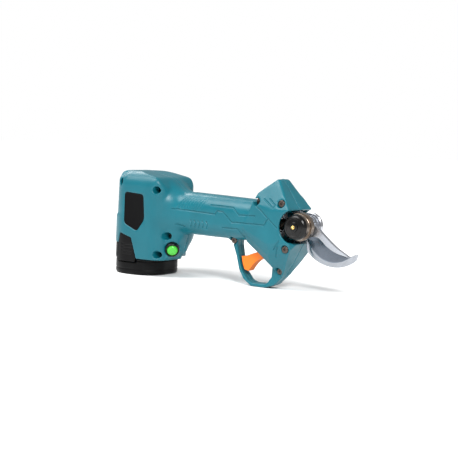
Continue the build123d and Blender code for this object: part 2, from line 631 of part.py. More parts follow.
def hook_blade():
    """The fixed lower blade: hooked in front, with a forked tang bolted inside the head."""
    back = [(213.0, 45.2), (215.6, 36.0), (223.5, 29.9), (234.1, 26.2), (244.4, 25.5), (254.5, 27.9),
            (263.9, 33.9)]
    edge = [(258.8, 37.0), (250.3, 34.4), (240.5, 33.8), (230.5, 37.2), (223.6, 43.5), (220.5, 51.0)]
    tip = (LENGTH, 39.8)
    outline = [Spline(*back), Line(back[-1], tip), Line(tip, edge[0]), Spline(*edge), Line(edge[-1], back[0])]
    hook = curve_prism(outline, *FIXED_Y)
    ring = cross_rod(PIVOT_X, AXIS_Z, 10.5, *FIXED_Y)
    neck = prism([(203.5, 56), (213.0, 45.2), (220.5, 51.0), (221.5, 58)], *FIXED_Y)
    upper = [(209.0, 71.0), (204.0, 75.4), (197.8, 84.4), (193.5, 86.0), (191.0, 80.5), (199.0, 69.5),
             (204.5, 66.5)]
    lower = [(204.5, 55.5), (199.0, 52.5), (197.5, 44.0), (198.5, 36.0), (202.8, 35.4), (205.9, 40.2),
             (207.6, 46.9), (214, 48)]
    tang = prism(upper, *FIXED_Y) + prism(lower, *FIXED_Y)
    blade = hook + ring + neck + tang - axial_rod(6.6, 180, 203.4)
    blade -= cross_rod(PIVOT_X, AXIS_Z, BOLT_R, -20, 20)
    for x, z in HEAD_BOLTS:
        blade -= cross_rod(x, z, BOLT_HOLE_R, -20, 20)
    return biggest(blade)


def pivot_bolt():
    """The bolt the blades turn on, with its round flange on the left."""
    bolt = cross_rod(PIVOT_X, AXIS_Z, BOLT_R, -17.6, 7.5)
    flange = chamfer(cross_rod(PIVOT_X, AXIS_Z, 12.6, 7.5, 11.6).edges(), 0.8)
    hub = chamfer(cross_rod(PIVOT_X, AXIS_Z, 8.0, 11.5, 14.2).edges(), 0.5)
    socket = Pos(PIVOT_X, 15.0, AXIS_Z) * Rot(90, 0, 0) * extrude(RegularPolygon(4.0, 6), amount=3.5)
    return bolt + flange + hub - socket - cross_rod(PIVOT_X, AXIS_Z, 1.6, -30, -14)


def flange_washer():
    return cross_tube(PIVOT_X, AXIS_Z, 11.5, BOLT_R, FIXED_Y[1], 7.5)


def thrust_washer():
    return cross_tube(PIVOT_X, AXIS_Z, 12.2, BOLT_R, -13.1, -12.1)


def pivot_nut():
    hexagon = extrude(RegularPolygon(8.6, 6), amount=3.6)
    nut = Pos(PIVOT_X, -13.1, AXIS_Z) * Rot(90, 0, 0) * hexagon
    return nut - cross_rod(PIVOT_X, AXIS_Z, BOLT_R, -30, 0)


def pivot_cap():
    """The domed cover over the nut."""
    dome = cross_rod(PIVOT_X, AXIS_Z, 12.0, -22.6, -13.1)
    dome = fillet(dome.faces().sort_by(Axis.Y)[0].edges(), 3.6)
    crown = cross_rod(PIVOT_X, AXIS_Z, 4.4, -24.0, -22.5)
    crown = fillet(crown.faces().sort_by(Axis.Y)[0].edges(), 1.2)
    hollow = cross_rod(PIVOT_X, AXIS_Z, 10.4, -19.6, -13.0)
    return dome + crown - hollow - cross_rod(PIVOT_X, AXIS_Z, 1.7, -30, -19)


def grease_nipple():
    """The brass greasing point in the end of the pivot bolt."""
    body = cross_rod(PIVOT_X, AXIS_Z, 1.6, -24.3, -14.0)
    tip = Pos(PIVOT_X, -24.3, AXIS_Z) * Sphere(1.6)
    return body + tip - cross_rod(PIVOT_X, AXIS_Z, 0.4, -30, -22)


def head_bolts():
    """The two bolts that clamp the hook blade between the shells."""
    bolts = []
    for (x, z), (near, far) in HEAD_BOLTS.items():
        head = cross_rod(x, z, 3.5, near - 2.2, near)
        head = fillet(head.faces().sort_by(Axis.Y)[0].edges(), 1.2)
        bolt = head + cross_rod(x, z, 2.0, near, far + 2.2)
        bolts.append(bolt - cross_socket(x, z, near - 2.2, 2.6, 0.8, 1.2))
    return Compound([b.solid() for b in bolts])


def cross_socket(x, z, y, length, width, depth):
    """A cross recess in a screw head that faces right."""
    slot = block(x - length / 2, x + length / 2, y - 1, y + depth, z - width / 2, z + width / 2)
    return slot + block(x - width / 2, x + width / 2, y - 1, y + depth, z - length / 2, z + length / 2)


def head_nuts():
    nuts = []
    for (x, z), (near, far) in HEAD_BOLTS.items():
        nut = Pos(x, far + 3.0, z) * Rot(90, 0, 0) * extrude(RegularPolygon(4.0, 6), amount=3.0)
        nuts.append((nut - cross_rod(x, z, 2.0, -30, 30)).solid())
    return Compound(nuts)


def shell_screws():
    screws = []
    for (x, z), (seat, length) in SHELL_SCREWS.items():
        head = cross_rod(x, z, SCREW_HEAD_R, seat - 2.0, seat)
        head = fillet(head.faces().sort_by(Axis.Y)[0].edges(), 1.1)
        screw = head + cross_rod(x, z, SCREW_SHANK_R, seat, seat + length)
        screws.append((screw - cross_socket(x, z, seat - 2.0, 2.4, 0.7, 1.1)).solid())
    return Compound(screws)


# ---------------------------------------------------------------- trigger

def trigger():
    """The curved finger lever, its hub on a pin inside the head."""
    rear = Spline((156.0, 30.4), (151.0, 28.4), (146.2, 27.7))
    end = Spline((146.2, 27.7), (147.6, 20.6), (150.0, 14.9))
    nose = Line((150.0, 14.9), (154.6, 13.8))
    front = Spline((154.6, 13.8), (157.6, 18.2), (163.8, 24.6), (172.4, 27.6))
    root = Polyline(*TRIGGER_ROOT, (156.0, 30.4))
    lever = curve_prism([rear, end, nose, front, root], -TRIGGER_HALF_WIDTH, TRIGGER_HALF_WIDTH)
    hub = cross_rod(TRIGGER_X, TRIGGER_Z, 4.2, -TRIGGER_HALF_WIDTH, TRIGGER_HALF_WIDTH)
    lever = lever + hub - cross_rod(TRIGGER_X, TRIGGER_Z, TRIGGER_PIN_R + RUNNING_FIT, -10, 10)
    return lever - magnet_form()


def magnet_form():
    """The sensing magnet, let into the top of the trigger's hub."""
    return block(174.5, 177.5, -2.0, 2.0, 38.9, 41.2)


def trigger_magnet():
    return magnet_form() & prism([*TRIGGER_ROOT], -5, 5)


def trigger_pin():
    return cross_rod(TRIGGER_X, TRIGGER_Z, TRIGGER_PIN_R, -13.5, 13.5)


def trigger_spring():
    """A torsion spring on the pin, beside the lever."""
    leg = block(TRIGGER_X - 5.5, TRIGGER_X, 5.1, 5.7, TRIGGER_Z + 1.78, TRIGGER_Z + 2.28)
    return cross_tube(TRIGGER_X, TRIGGER_Z, 2.3, 1.75, 5.1, 7.7) + leg


# ---------------------------------------------------------------- electronics

def control_board():
    return block(20, 54, -24, 24, CONTROL_BOARD_TOP - 1.6, CONTROL_BOARD_TOP)


def board_parts():
    """Power transistors, a chip, capacitors and connectors on the control board."""
    top = CONTROL_BOARD_TOP
    places = [(22 + 8 * k, y) for k in range(3) for y in (-16.5, 16.5)]
    parts = [block(x, x + 6, y - 4.5, y + 4.5, top, top + 1.6) for x, y in places]
    parts += [block(22, 31, -5, 5, top, top + 1.4), block(47, 53, -8, 4, top, top + 4.4)]
    parts += [Pos(39, y, top + 3.5) * Cylinder(4.0, 7.0) for y in (-5.0, 5.0)]
    return Compound([p.solid() for p in parts])


def sensor_board():
    """The small board that reads the trigger's magnet."""
    return block(170.5, 178.4, -7.5, 7.5, 43.3, 44.3) + block(174.5, 177.5, -1.5, 1.5, 42.5, 43.4)


def terminal_block():
    """The housing's socket for the pack's contacts."""
    body = block(14, 44, -14, 14, 81.0, 86.0)
    for y in TERMINAL_Y:
        body -= block(20, 38, y - 0.5, y + 0.5, 80, 87)
    return body


def terminal_blades():
    """Flat blades that reach down through the shelf into the pack."""
    return Compound([block(20.5, 37.5, y - 0.4, y + 0.4, 74.0, 87.5).solid() for y in TERMINAL_Y])


def button_bezel():
    """The black ring the button moves in."""
    return along_button(BEZEL_R, -6.6, 1.2) - along_button(BUTTON_R + 0.35, -8, 5)


def power_button():
    """The domed push button."""
    cap = along_button(BUTTON_R, -3.0, 1.6)
    top = cap.faces().sort_by(Axis(BUTTON_CENTRE, BUTTON_AXIS))[-1]
    return fillet(top.edges(), 1.0) + along_button(2.0, -5.0, -2.9)


def switch_body():
    return along_button(6.0, -9.4, -6.6)


def button_spring():
    return along_button(3.4, -6.6, -3.0) - along_button(2.7, -8, 0)


def motor_leads():
    """Three wires from the control board to the rear of the motor."""
    leads = []
    for k in range(3):
        start = 10.5 + 2.4 * k
        end = 5.5 + 1.9 * k
        route = [(46, start, 92.0), (56.5, start, 92.0), (65, start, 82.0), (76, start - 2.0, 76.5)]
        route += [(88, end, 71.5), (97.8, end, 70.0)]
        path = FilletPolyline(*route, radius=5.0)
        leads.append(sweep(Plane(path @ 0, z_dir=path % 0) * Circle(0.8), path=path).solid())
    return Compound(leads)


# ---------------------------------------------------------------- battery pack

def pack_plan(inset):
    width = PACK_FRONT_X - 0.3 - 2 * inset
    outline = RectangleRounded(width, 2 * (PACK_HALF_WIDTH - inset), PACK_CORNER - inset)
    return Pos(0.3 + inset + width / 2, 0) * outline


def pack_lower():
    """The tray that the cells stand in."""
    tray = extrude(pack_plan(0), amount=PACK_SPLIT_Z)
    tray = fillet(tray.faces().sort_by(Axis.Z)[0].edges(), 2.6)
    tray -= Pos(0, 0, 2.0) * extrude(pack_plan(1.8), amount=PACK_SPLIT_Z)
    for x, y in PACK_SCREWS:
        tray += Pos(x, y, 7.5) * Cylinder(3.2, 13.0)
    for x, y in PACK_SCREWS:
        tray -= Pos(x, y, 1.0) * Cylinder(2.6, 4.0)
        tray -= Pos(x, y, 8) * Cylinder(1.3, 20.0)
    return tray - latch_pockets()


def latch_pockets():
    """Room for the side latches to stand and to be pressed in."""
    return both_sides(block(12.9, 38.2, 26.6, 40, 12.4, 50))


def pack_upper():
    """The cover: a rim plate, the rear wall that fills the housing's notch, and the cell tower."""
    plate = Pos(0, 0, PACK_SPLIT_Z) * extrude(pack_plan(0), amount=PACK_TOP_Z - PACK_SPLIT_Z)
    wall = (housing_form(0) - housing_form(2.0)) & block(-5, 13.8, -40, 40, PACK_TOP_Z - 0.1, REAR_RIM_Z - 0.3)
    size_x, size_y = TOWER_X[1] - TOWER_X[0], 2 * TOWER_HALF_WIDTH
    tower_plan = Pos(BAY_CENTRE_X, 0, PACK_SPLIT_Z) * RectangleRounded(size_x, size_y, 6)
    tower = extrude(tower_plan, amount=TOWER_TOP - PACK_SPLIT_Z)
    posts = [Pos(x, y, 18.5) * Cylinder(3.2, 5.0) for x, y in PACK_SCREWS]
    cover = plate + (wall - latch_pockets()) + tower
    for post in posts:
        cover += post
    cover -= latch_pockets()
    inside_plan = Pos(BAY_CENTRE_X, 0, 5) * RectangleRounded(size_x - 3, size_y - 3, 4.5)
    cover -= extrude(inside_plan, amount=TOWER_TOP - 7)
    for x, y in PACK_SCREWS:
        cover -= Pos(x, y, 10) * Cylinder(1.3, 19.0)
    for y in TERMINAL_Y:
        cover -= block(19, 39, y - 0.9, y + 0.9, 70, 80)
    return biggest(cover)


def pack_cells():
    """Four cells standing in the tower."""
    cell = Cylinder(CELL_R, CELL_LENGTH)
    half = CELL_PITCH / 2
    places = [(BAY_CENTRE_X + x, y) for x in (-half, half) for y in (-half, half)]
    return Compound([(Pos(x, y, CELL_BASE_Z + CELL_LENGTH / 2) * cell).solid() for x, y in places])


def cell_straps():
    """Nickel strips across the ends of the cells."""
    base, top, half = CELL_BASE_Z, CELL_BASE_Z + CELL_LENGTH, CELL_PITCH / 2
    x = BAY_CENTRE_X
    strips = [block(x - 14, x + 14, y - 3, y + 3, top, top + 0.3) for y in (-half, half)]
    strips += [block(x + dx - 3, x + dx + 3, -14, 14, base - 0.3, base) for dx in (-half, half)]
    return Compound([strip.solid() for strip in strips])


def pack_board():
    return block(BAY_CENTRE_X - 17, BAY_CENTRE_X + 17, -17, 17, 69.8, 70.9)


def pack_contacts():
    """Forked contacts that the housing's blades slide into."""
    forks = []
    for y in TERMINAL_Y:
        fork = block(22, 36, y - 0.8, y + 0.8, 70.9, 76.5) - block(21, 37, y - 0.46, y + 0.46, 71.6, 80)
        forks.append(fork.solid())
    return Compound(forks)


def pack_screws():
    screws = []
    for x, y in PACK_SCREWS:
        head = Pos(x, y, 2.1) * Cylinder(2.4, 1.8)
        head -= Pos(x, y, 1.0) * (Box(3.0, 0.7, 1.6) + Box(0.7, 3.0, 1.6))
        screws.append((head + Pos(x, y, 10.4) * Cylinder(1.3, 15.6)).solid())
    return Compound(screws)


def latch(side):
    """The side panel that is pressed in to free the pack, with its guide post and catch."""
    panel = prism(latch_outline(0), 29.7, 31.9)
    panel += cross_rod(26.0, 26.0, 2.0, 23.4, 30.0)
    panel += block(20.5, 28.5, 27.5, 29.9, 33.0, 37.0) + block(20.5, 28.5, 27.5, 29.1, 33.0, 42.4)
    for k in range(4):
        panel -= block(20.0, 33.0 + k, 31.4, 33.0, 20.0 + 3.2 * k, 21.4 + 3.2 * k)
    return panel if side > 0 else mirror(panel, Plane.XZ)


def latch_spring(side):
    spring = cross_tube(26.0, 26.0, 3.0, 2.3, TOWER_HALF_WIDTH, 29.7)
    return spring if side > 0 else mirror(spring, Plane.XZ)


def main():
    left, right = shells()
    pieces = {
        "left_shell": left, "right_shell": right, "shell_screws": shell_screws(),
        "head_bolts": head_bolts(), "head_nuts": head_nuts(),
        "left_badge": badge(1, 0, HOUSING_HALF_WIDTH - 0.4),
        "right_badge": badge(-1, 0, HOUSING_HALF_WIDTH - 0.4),
        "motor_can": motor_can(), "stator_core": stator_core(), "stator_coils": stator_coils(),
        "motor_front_plate": motor_front_plate(), "ring_gear": ring_gear(), "gearbox_nose": gearbox_nose(),
        "rear_output_bearing": ball_bearing(*BEARING_PLACES[0], BEARING_R, SHAFT_R + RUNNING_FIT),
        "front_output_bearing": ball_bearing(*BEARING_PLACES[1], BEARING_R, SHAFT_R + RUNNING_FIT),
        "motor_bearings": motor_bearings(),
        "rotor_shaft": rotor_shaft(), "rotor_magnet": rotor_magnet(), "sun_gear": sun_gear(),
        "output_pinion": output_pinion(), "planet_carrier": planet_carrier(), "planet_pins": planet_pins(),
        "hook_blade": hook_blade(), "pivot_bolt": pivot_bolt(), "flange_washer": flange_washer(),
        "thrust_washer": thrust_washer(), "pivot_nut": pivot_nut(), "pivot_cap": pivot_cap(),
        "grease_nipple": grease_nipple(),
        "moving_blade": moving_blade(), "bevel_sector": bevel_sector(), "blade_rivets": blade_rivets(),
        "trigger": trigger(), "trigger_magnet": trigger_magnet(), "trigger_pin": trigger_pin(),
        "trigger_spring": trigger_spring(),
        "sensor_board": sensor_board(), "control_board": control_board(), "board_parts": board_parts(),
        "motor_leads": motor_leads(), "terminal_block": terminal_block(), "terminal_blades": terminal_blades(),
        "button_bezel": button_bezel(), "power_button": power_button(), "button_spring": button_spring(),
        "switch_body": switch_body(),
        "pack_lower": pack_lower(), "pack_upper": pack_upper(), "pack_cells": pack_cells(),
        "cell_straps": cell_straps(),
        "pack_board": pack_board(), "pack_contacts": pack_contacts(), "pack_screws": pack_screws(),
        "left_latch": latch(1), "right_latch": latch(-1),
        "left_latch_spring": latch_spring(1), "right_latch_spring": latch_spring(-1),
    }
    for k in range(PLANET_COUNT):
        pieces[f"planet_gear_{k + 1}"] = planet_gear(k)
    for name, shape in pieces.items():
        write(shape, name)
    print(len(pieces), "nodes written")


if __name__ == "__main__":
    main()
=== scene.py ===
"""Looks for a battery electric pruner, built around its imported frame."""

import json
import math

import bmesh
import bpy
import numpy as np
from bpy.props import FloatProperty, FloatVectorProperty, IntProperty, PointerProperty
from mathutils import Matrix, Vector
from mathutils.bvhtree import BVHTree


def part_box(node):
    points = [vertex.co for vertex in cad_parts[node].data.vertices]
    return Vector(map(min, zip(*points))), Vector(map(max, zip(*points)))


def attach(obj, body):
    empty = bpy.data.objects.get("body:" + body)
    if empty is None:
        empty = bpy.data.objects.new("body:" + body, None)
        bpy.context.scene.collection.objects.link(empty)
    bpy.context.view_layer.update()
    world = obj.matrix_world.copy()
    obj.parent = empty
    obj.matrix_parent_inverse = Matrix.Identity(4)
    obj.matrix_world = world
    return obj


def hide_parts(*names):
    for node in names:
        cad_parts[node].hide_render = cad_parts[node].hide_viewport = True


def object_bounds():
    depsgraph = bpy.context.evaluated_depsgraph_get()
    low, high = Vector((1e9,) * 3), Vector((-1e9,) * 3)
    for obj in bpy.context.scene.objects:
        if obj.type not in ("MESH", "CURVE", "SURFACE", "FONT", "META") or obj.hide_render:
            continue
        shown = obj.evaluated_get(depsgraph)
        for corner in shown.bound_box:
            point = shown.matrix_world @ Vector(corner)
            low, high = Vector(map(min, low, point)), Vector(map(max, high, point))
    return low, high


bl_info = {
    "name": "Battery pruner",
    "version": (1, 0, 0),
    "blender": (4, 5, 0),
    "location": "View3D > Sidebar > Pruner",
    "description": "Builds the mouldings, blades and finishes of a battery electric pruner",
    "category": "Add Mesh",
}

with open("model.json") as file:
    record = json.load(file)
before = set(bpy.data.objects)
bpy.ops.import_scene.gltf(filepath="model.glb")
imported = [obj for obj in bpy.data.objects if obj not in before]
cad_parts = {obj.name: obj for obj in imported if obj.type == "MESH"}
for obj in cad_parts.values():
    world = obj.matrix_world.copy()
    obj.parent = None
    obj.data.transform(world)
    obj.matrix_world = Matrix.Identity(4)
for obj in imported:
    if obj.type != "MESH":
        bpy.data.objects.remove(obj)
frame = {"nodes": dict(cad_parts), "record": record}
CAD_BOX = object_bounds()

# Places are given in millimetres from the tool's rear end, across from its middle, and up from the ground.
MM = 0.001
PIVOT = sum(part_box("pivot_cap"), Vector()) / 2
PIVOT_X = (PIVOT.x - CAD_BOX[0].x) / MM
AXIS_Z = PIVOT.z / MM


def at(x, y, z):
    """A place on the tool, in metres."""
    return Vector((CAD_BOX[0].x + x * MM, y * MM, z * MM))


# ---------------------------------------------------------------- sizes and colours

class PrunerSizes(bpy.types.PropertyGroup):
    """Sizes that a maker would change."""

    skin_step: FloatProperty(
        name="Skin step", description="Spacing of the mouldings' mesh", default=0.6 * MM, unit="LENGTH")
    small_step: FloatProperty(
        name="Small part step", description="Spacing of the small mouldings' mesh", default=0.3 * MM, unit="LENGTH")
    groove_width: FloatProperty(
        name="Groove width", description="Width of the grooves in the grip", default=1.9 * MM, unit="LENGTH")
    groove_depth: FloatProperty(
        name="Groove depth", description="Depth of the grooves in the grip", default=0.8 * MM, unit="LENGTH")
    rib_pitch: FloatProperty(
        name="Rib pitch", description="Distance between the slanted ribs", default=3.3 * MM, unit="LENGTH")
    rib_height: FloatProperty(
        name="Rib height", description="Depth of the gaps between the slanted ribs", default=0.5 * MM, unit="LENGTH")
    flare_passes: IntProperty(
        name="Flare softness", description="How far the housing flows into the grip", default=70, min=0)
    edge_passes: IntProperty(
        name="Edge softness", description="How round the mouldings' edges are", default=4, min=0)
    camera_distance: FloatProperty(
        name="Camera distance", description="From the camera to the tool", default=1.0, unit="LENGTH")
    camera_azimuth: FloatProperty(
        name="Camera azimuth", description="Camera's turn round the tool", default=math.radians(33.2), subtype="ANGLE")
    camera_height: FloatProperty(
        name="Camera elevation", description="Camera's angle above the horizon", default=math.radians(4.85),
        subtype="ANGLE")
    camera_roll: FloatProperty(
        name="Camera roll", description="Camera's tilt", default=math.radians(2.34), subtype="ANGLE")


def colour(name, description, default):
    return FloatVectorProperty(name=name, description=description, default=default, size=3, min=0, max=1,
                               subtype="COLOR")


class PrunerColours(bpy.types.PropertyGroup):
    """Colours of the finishes."""

    shell: colour("Shell", "Moulded shells", (0.0030, 0.122, 0.160))
    black: colour("Black", "Battery and panels", (0.0035, 0.0035, 0.0038))
    gloss_black: colour("Polished black", "Pivot cap and button ring", (0.0025, 0.0025, 0.0025))
    orange: colour("Orange", "Trigger", (0.90, 0.185, 0.004))
    green: colour("Green", "Power button", (0.06, 0.50, 0.035))
    bronze: colour("Bronze", "Plated screws", (0.105, 0.085, 0.075))
    steel: colour("Steel", "Ground blades", (0.38, 0.40, 0.435))
    hollow: colour("Hollow", "Polished hollow of the moving blade", (0.13, 0.15, 0.18))
    # Hollow: painted reflection. The hollow is coloured darker and bluer than the blade's other steel, standing in for
    # the dark surroundings it reflects.
    gear: colour("Gear", "Oiled gears", (0.19, 0.155, 0.125))
    bright: colour("Bright", "Polished steel", (0.36, 0.37, 0.395))
    brass: colour("Brass", "Grease nipple and contacts", (0.78, 0.50, 0.17))
    copper: colour("Copper", "Motor windings", (0.62, 0.24, 0.10))
    alloy: colour("Alloy", "Motor and gearbox castings", (0.11, 0.112, 0.12))
    board: colour("Board", "Circuit boards", (0.012, 0.11, 0.035))
    wire: colour("Wire", "Wire covers", (0.30, 0.012, 0.012))
    wrap: colour("Cell wrap", "Battery cell wraps", (0.05, 0.16, 0.36))


# ---------------------------------------------------------------- meshes

def piece(name, mesh, materials, body, replaces=()):
    """Put a mesh in the scene as a piece that rides on a body."""
    obj = bpy.data.objects.new(name, mesh)
    bpy.context.scene.collection.objects.link(obj)
    for material in materials:
        mesh.materials.append(material)
    mesh.polygons.foreach_set("use_smooth", [True] * len(mesh.polygons))
    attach(obj, body)
    if replaces:
        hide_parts(*replaces)
    return obj


def mesh_of(name, verts, faces):
    """A mesh from its points and faces."""
    mesh = bpy.data.meshes.new(name)
    mesh.from_pydata([tuple(v) for v in verts], [], faces)
    mesh.validate()
    mesh.update()
    return mesh


def lathe(name, profile, origin, axis, steps=96):
    """A turned mesh from (radius, distance along the axis) pairs, in millimetres. Radius 0 closes an end."""
    turn = Vector((0, 0, 1)).rotation_difference(Vector(axis).normalized())
    verts, faces, rings = [], [], []
    for radius, along in profile:
        if radius == 0:
            rings.append([len(verts)])
            verts.append(origin + turn @ Vector((0, 0, along * MM)))
            continue
        rings.append(list(range(len(verts), len(verts) + steps)))
        for k in range(steps):
            angle = 2 * math.pi * k / steps
            local = Vector((radius * math.cos(angle), radius * math.sin(angle), along)) * MM
            verts.append(origin + turn @ local)
    for a, b in zip(rings, rings[1:]):
        for k in range(steps):
            corners = [a[k % len(a)], a[(k + 1) % len(a)], b[(k + 1) % len(b)], b[k % len(b)]]
            faces.append(list(dict.fromkeys(corners)))
    return mesh_of(name, verts, faces)


def through(points, steps=8):
    """A smooth curve through some points, as many short runs."""
    p = [np.array(q, float) for q in points]
    p = [2 * p[0] - p[1], *p, 2 * p[-1] - p[-2]]
    found = []
    for a, b, c, d in zip(p, p[1:], p[2:], p[3:]):
        for k in range(steps):
            t = k / steps
            found.append(0.5 * (2 * b + (c - a) * t + (2 * a - 5 * b + 4 * c - d) * t**2
                                + (3 * b - a - 3 * c + d) * t**3))
    return [tuple(q) for q in found + [p[-2]]]


def rounded(points, radius, steps=5):
    """A closed outline with its corners rounded."""
    found = []
    for k, corner in enumerate(points):
        before, after = np.array(points[k - 1], float), np.array(points[(k + 1) % len(points)], float)
        corner = np.array(corner, float)
        reach = min(radius, np.linalg.norm(before - corner) * 0.45, np.linalg.norm(after - corner) * 0.45)
        start = corner + (before - corner) / np.linalg.norm(before - corner) * reach
        end = corner + (after - corner) / np.linalg.norm(after - corner) * reach
        for n in range(steps + 1):
            t = n / steps
            found.append(tuple((1 - t) ** 2 * start + 2 * t * (1 - t) * corner + t**2 * end))
    return found


def shrunk(outline, inset):
    """A closed outline moved inwards."""
    p = np.array(outline, float)
    ahead, behind = np.roll(p, -1, 0) - p, p - np.roll(p, 1, 0)
    area = np.sum(p[:, 0] * np.roll(p[:, 1], -1) - p[:, 1] * np.roll(p[:, 0], -1))
    normals = []
    for run in (ahead, behind):
        n = np.stack([-run[:, 1], run[:, 0]], 1)
        normals.append(n / np.maximum(np.linalg.norm(n, axis=1), 1e-9)[:, None])
    mean = normals[0] + normals[1]
    mean /= np.maximum((mean * normals[0]).sum(1), 0.35)[:, None]
    return p + mean * inset * (1 if area > 0 else -1)


def plate(name, outline, levels, side=1):
    """A plate in the X Z plane: the outline at each (inset, Y) level, joined and closed, in millimetres."""
    verts, faces, count = [], [], len(outline)
    for inset, y in levels:
        verts += [at(x, y * side, z) for x, z in shrunk(outline, inset)]
    for level in range(len(levels) - 1):
        a, b = level * count, (level + 1) * count
        faces += [[a + k, a + (k + 1) % count, b + (k + 1) % count, b + k] for k in range(count)]
    faces.append(list(range(count))[::-1])
    faces.append(list(range(len(verts) - count, len(verts))))
    mesh = mesh_of(name, verts, faces)
    tidy_normals(mesh)
    return mesh


def tidy_normals(mesh):
    """Turn every face outwards."""
    work = bmesh.new()
    work.from_mesh(mesh)
    bmesh.ops.recalc_face_normals(work, faces=work.faces)
    work.to_mesh(mesh)
    work.free()


def even_mesh(node, name, step):
    """A CAD node's surface as an even, closed mesh."""
    source = bpy.data.objects.new(name, frame["nodes"][node].data.copy())
    bpy.context.scene.collection.objects.link(source)
    weld = source.modifiers.new("joined", "WELD")
    weld.merge_threshold = 0.002 * MM
    even = source.modifiers.new("even", "REMESH")
    even.mode = "VOXEL"
    even.voxel_size = step
    graph = bpy.context.evaluated_depsgraph_get()
    mesh = bpy.data.meshes.new_from_object(source.evaluated_get(graph))
    mesh.name = name
    bpy.data.objects.remove(source)
    mesh.materials.clear()
    return mesh


def points_of(mesh):
    """The mesh's points, as rows."""
    co = np.zeros(len(mesh.vertices) * 3)
    mesh.vertices.foreach_get("co", co)
    return co.reshape(-1, 3)


def normals_of(mesh):
    """The normal at each of the mesh's points, as rows."""
    found = np.zeros(len(mesh.vertices) * 3)
    mesh.vertices.foreach_get("normal", found)
    return found.reshape(-1, 3)


def place_points(mesh, co):
    """Move the mesh's points."""
    mesh.vertices.foreach_set("co", co.astype(np.float32).ravel())
    mesh.update()


def relax(mesh, passes, weight=1.0, strength=0.5):
    """Even out a mesh. Weight, from 0 to 1, says how freely each point may move."""
    edges = np.zeros(len(mesh.edges) * 2, np.int64)
    mesh.edges.foreach_get("vertices", edges)
    a, b = edges.reshape(-1, 2).T
    co = points_of(mesh)
    count = len(co)
    share = np.maximum(np.bincount(a, minlength=count) + np.bincount(b, minlength=count), 1)
    move = strength * weight
    for _ in range(passes):
        for axis in range(3):
            values = co[:, axis]
            total = np.bincount(a, values[b], count) + np.bincount(b, values[a], count)
            co[:, axis] += (total / share - values) * move
    place_points(mesh, co)


def ramp(values, low, high):
    """A smooth step from 0 at low to 1 at high."""
    t = np.clip((values - low) / (high - low), 0, 1)
    return t * t * (3 - 2 * t)


def distance_to_runs(x, z, runs):
    """How far points are from a set of polylines, in the units of the points."""
    nearest = np.full(len(x), 1e9)
    for run in runs:
        for (x0, z0), (x1, z1) in zip(run, run[1:]):
            dx, dz = x1 - x0, z1 - z0
            t = np.clip(((x - x0) * dx + (z - z0) * dz) / max(dx * dx + dz * dz, 1e-9), 0, 1)
            nearest = np.minimum(nearest, np.hypot(x - x0 - t * dx, z - z0 - t * dz))
    return nearest


# ---------------------------------------------------------------- materials

FINISH = "_finish"


class Recipe:
    """A material's node tree, with its shader at hand."""

    def __init__(self, name, **shader):
        self.material = bpy.data.materials.new(name + FINISH)
        self.material.use_nodes = True
        self.tree = self.material.node_tree
        self.shader = self.tree.nodes["Principled BSDF"]
        for key, value in shader.items():
            self.shader.inputs[key.replace("_", " ")].default_value = value
        self.place = self.add("ShaderNodeTexCoord").outputs["Object"]

    def add(self, kind, inputs=None, **settings):
        """A new node, with its sockets linked or set."""
        node = self.tree.nodes.new(kind)
        for key, value in settings.items():
            setattr(node, key, value)
        for key, value in (inputs or {}).items():
            if isinstance(value, bpy.types.NodeSocket):
                self.tree.links.new(value, node.inputs[key])
            else:
                node.inputs[key].default_value = value
        return node

    def noise(self, scale, detail=2.0, place=None, rough=0.5):
        """Noise whose spots are about 1 / scale metres across."""
        inputs = {"Vector": place or self.place, "Scale": scale, "Detail": detail, "Roughness": rough}
        return self.add("ShaderNodeTexNoise", inputs).outputs["Fac"]

    def stretched(self, scale, turn=(0, 0, 0)):
        """Coordinates turned and then stretched, for lines."""
        turned = self.add("ShaderNodeMapping", {"Vector": self.place, "Rotation": turn}).outputs["Vector"]
        return self.add("ShaderNodeMapping", {"Vector": turned, "Scale": scale}).outputs["Vector"]

    def spread(self, value, low, high, to_low, to_high):
        """A value moved from one range to another."""
        inputs = {"Value": value, "From Min": low, "From Max": high, "To Min": to_low, "To Max": to_high}
        return self.add("ShaderNodeMapRange", inputs).outputs["Result"]

    def mix(self, factor, first, second):
        """Two colours mixed by a factor."""
        node = self.add("ShaderNodeMix", data_type="RGBA")
        for socket, value in ((node.inputs[0], factor), (node.inputs[6], first), (node.inputs[7], second)):
            if isinstance(value, bpy.types.NodeSocket):
                self.tree.links.new(value, socket)
            else:
                socket.default_value = value
        return node.outputs[2]

    def feed(self, socket, value):
        """Link a value to one of the shader's sockets."""
        self.tree.links.new(value, self.shader.inputs[socket])

    def bump(self, height, depth, strength=1.0, under=None):
        """A bumped normal, over another bump if there is one."""
        inputs = {"Height": height, "Distance": depth, "Strength": strength}
        if under is not None:
            inputs["Normal"] = under
        return self.add("ShaderNodeBump", inputs).outputs["Normal"]

    def edges(self, low=0.505, high=0.56):
        """1 on outer edges, 0 elsewhere."""
        point = self.add("ShaderNodeNewGeometry").outputs["Pointiness"]
        return self.spread(point, low, high, 0.0, 1.0)


def shade(rgb, factor, grey=0.0):
    """A colour made lighter or darker, and greyer."""
    mean = sum(rgb) / 3
    return tuple(min(1.0, (c * (1 - grey) + mean * grey) * factor) for c in rgb) + (1.0,)


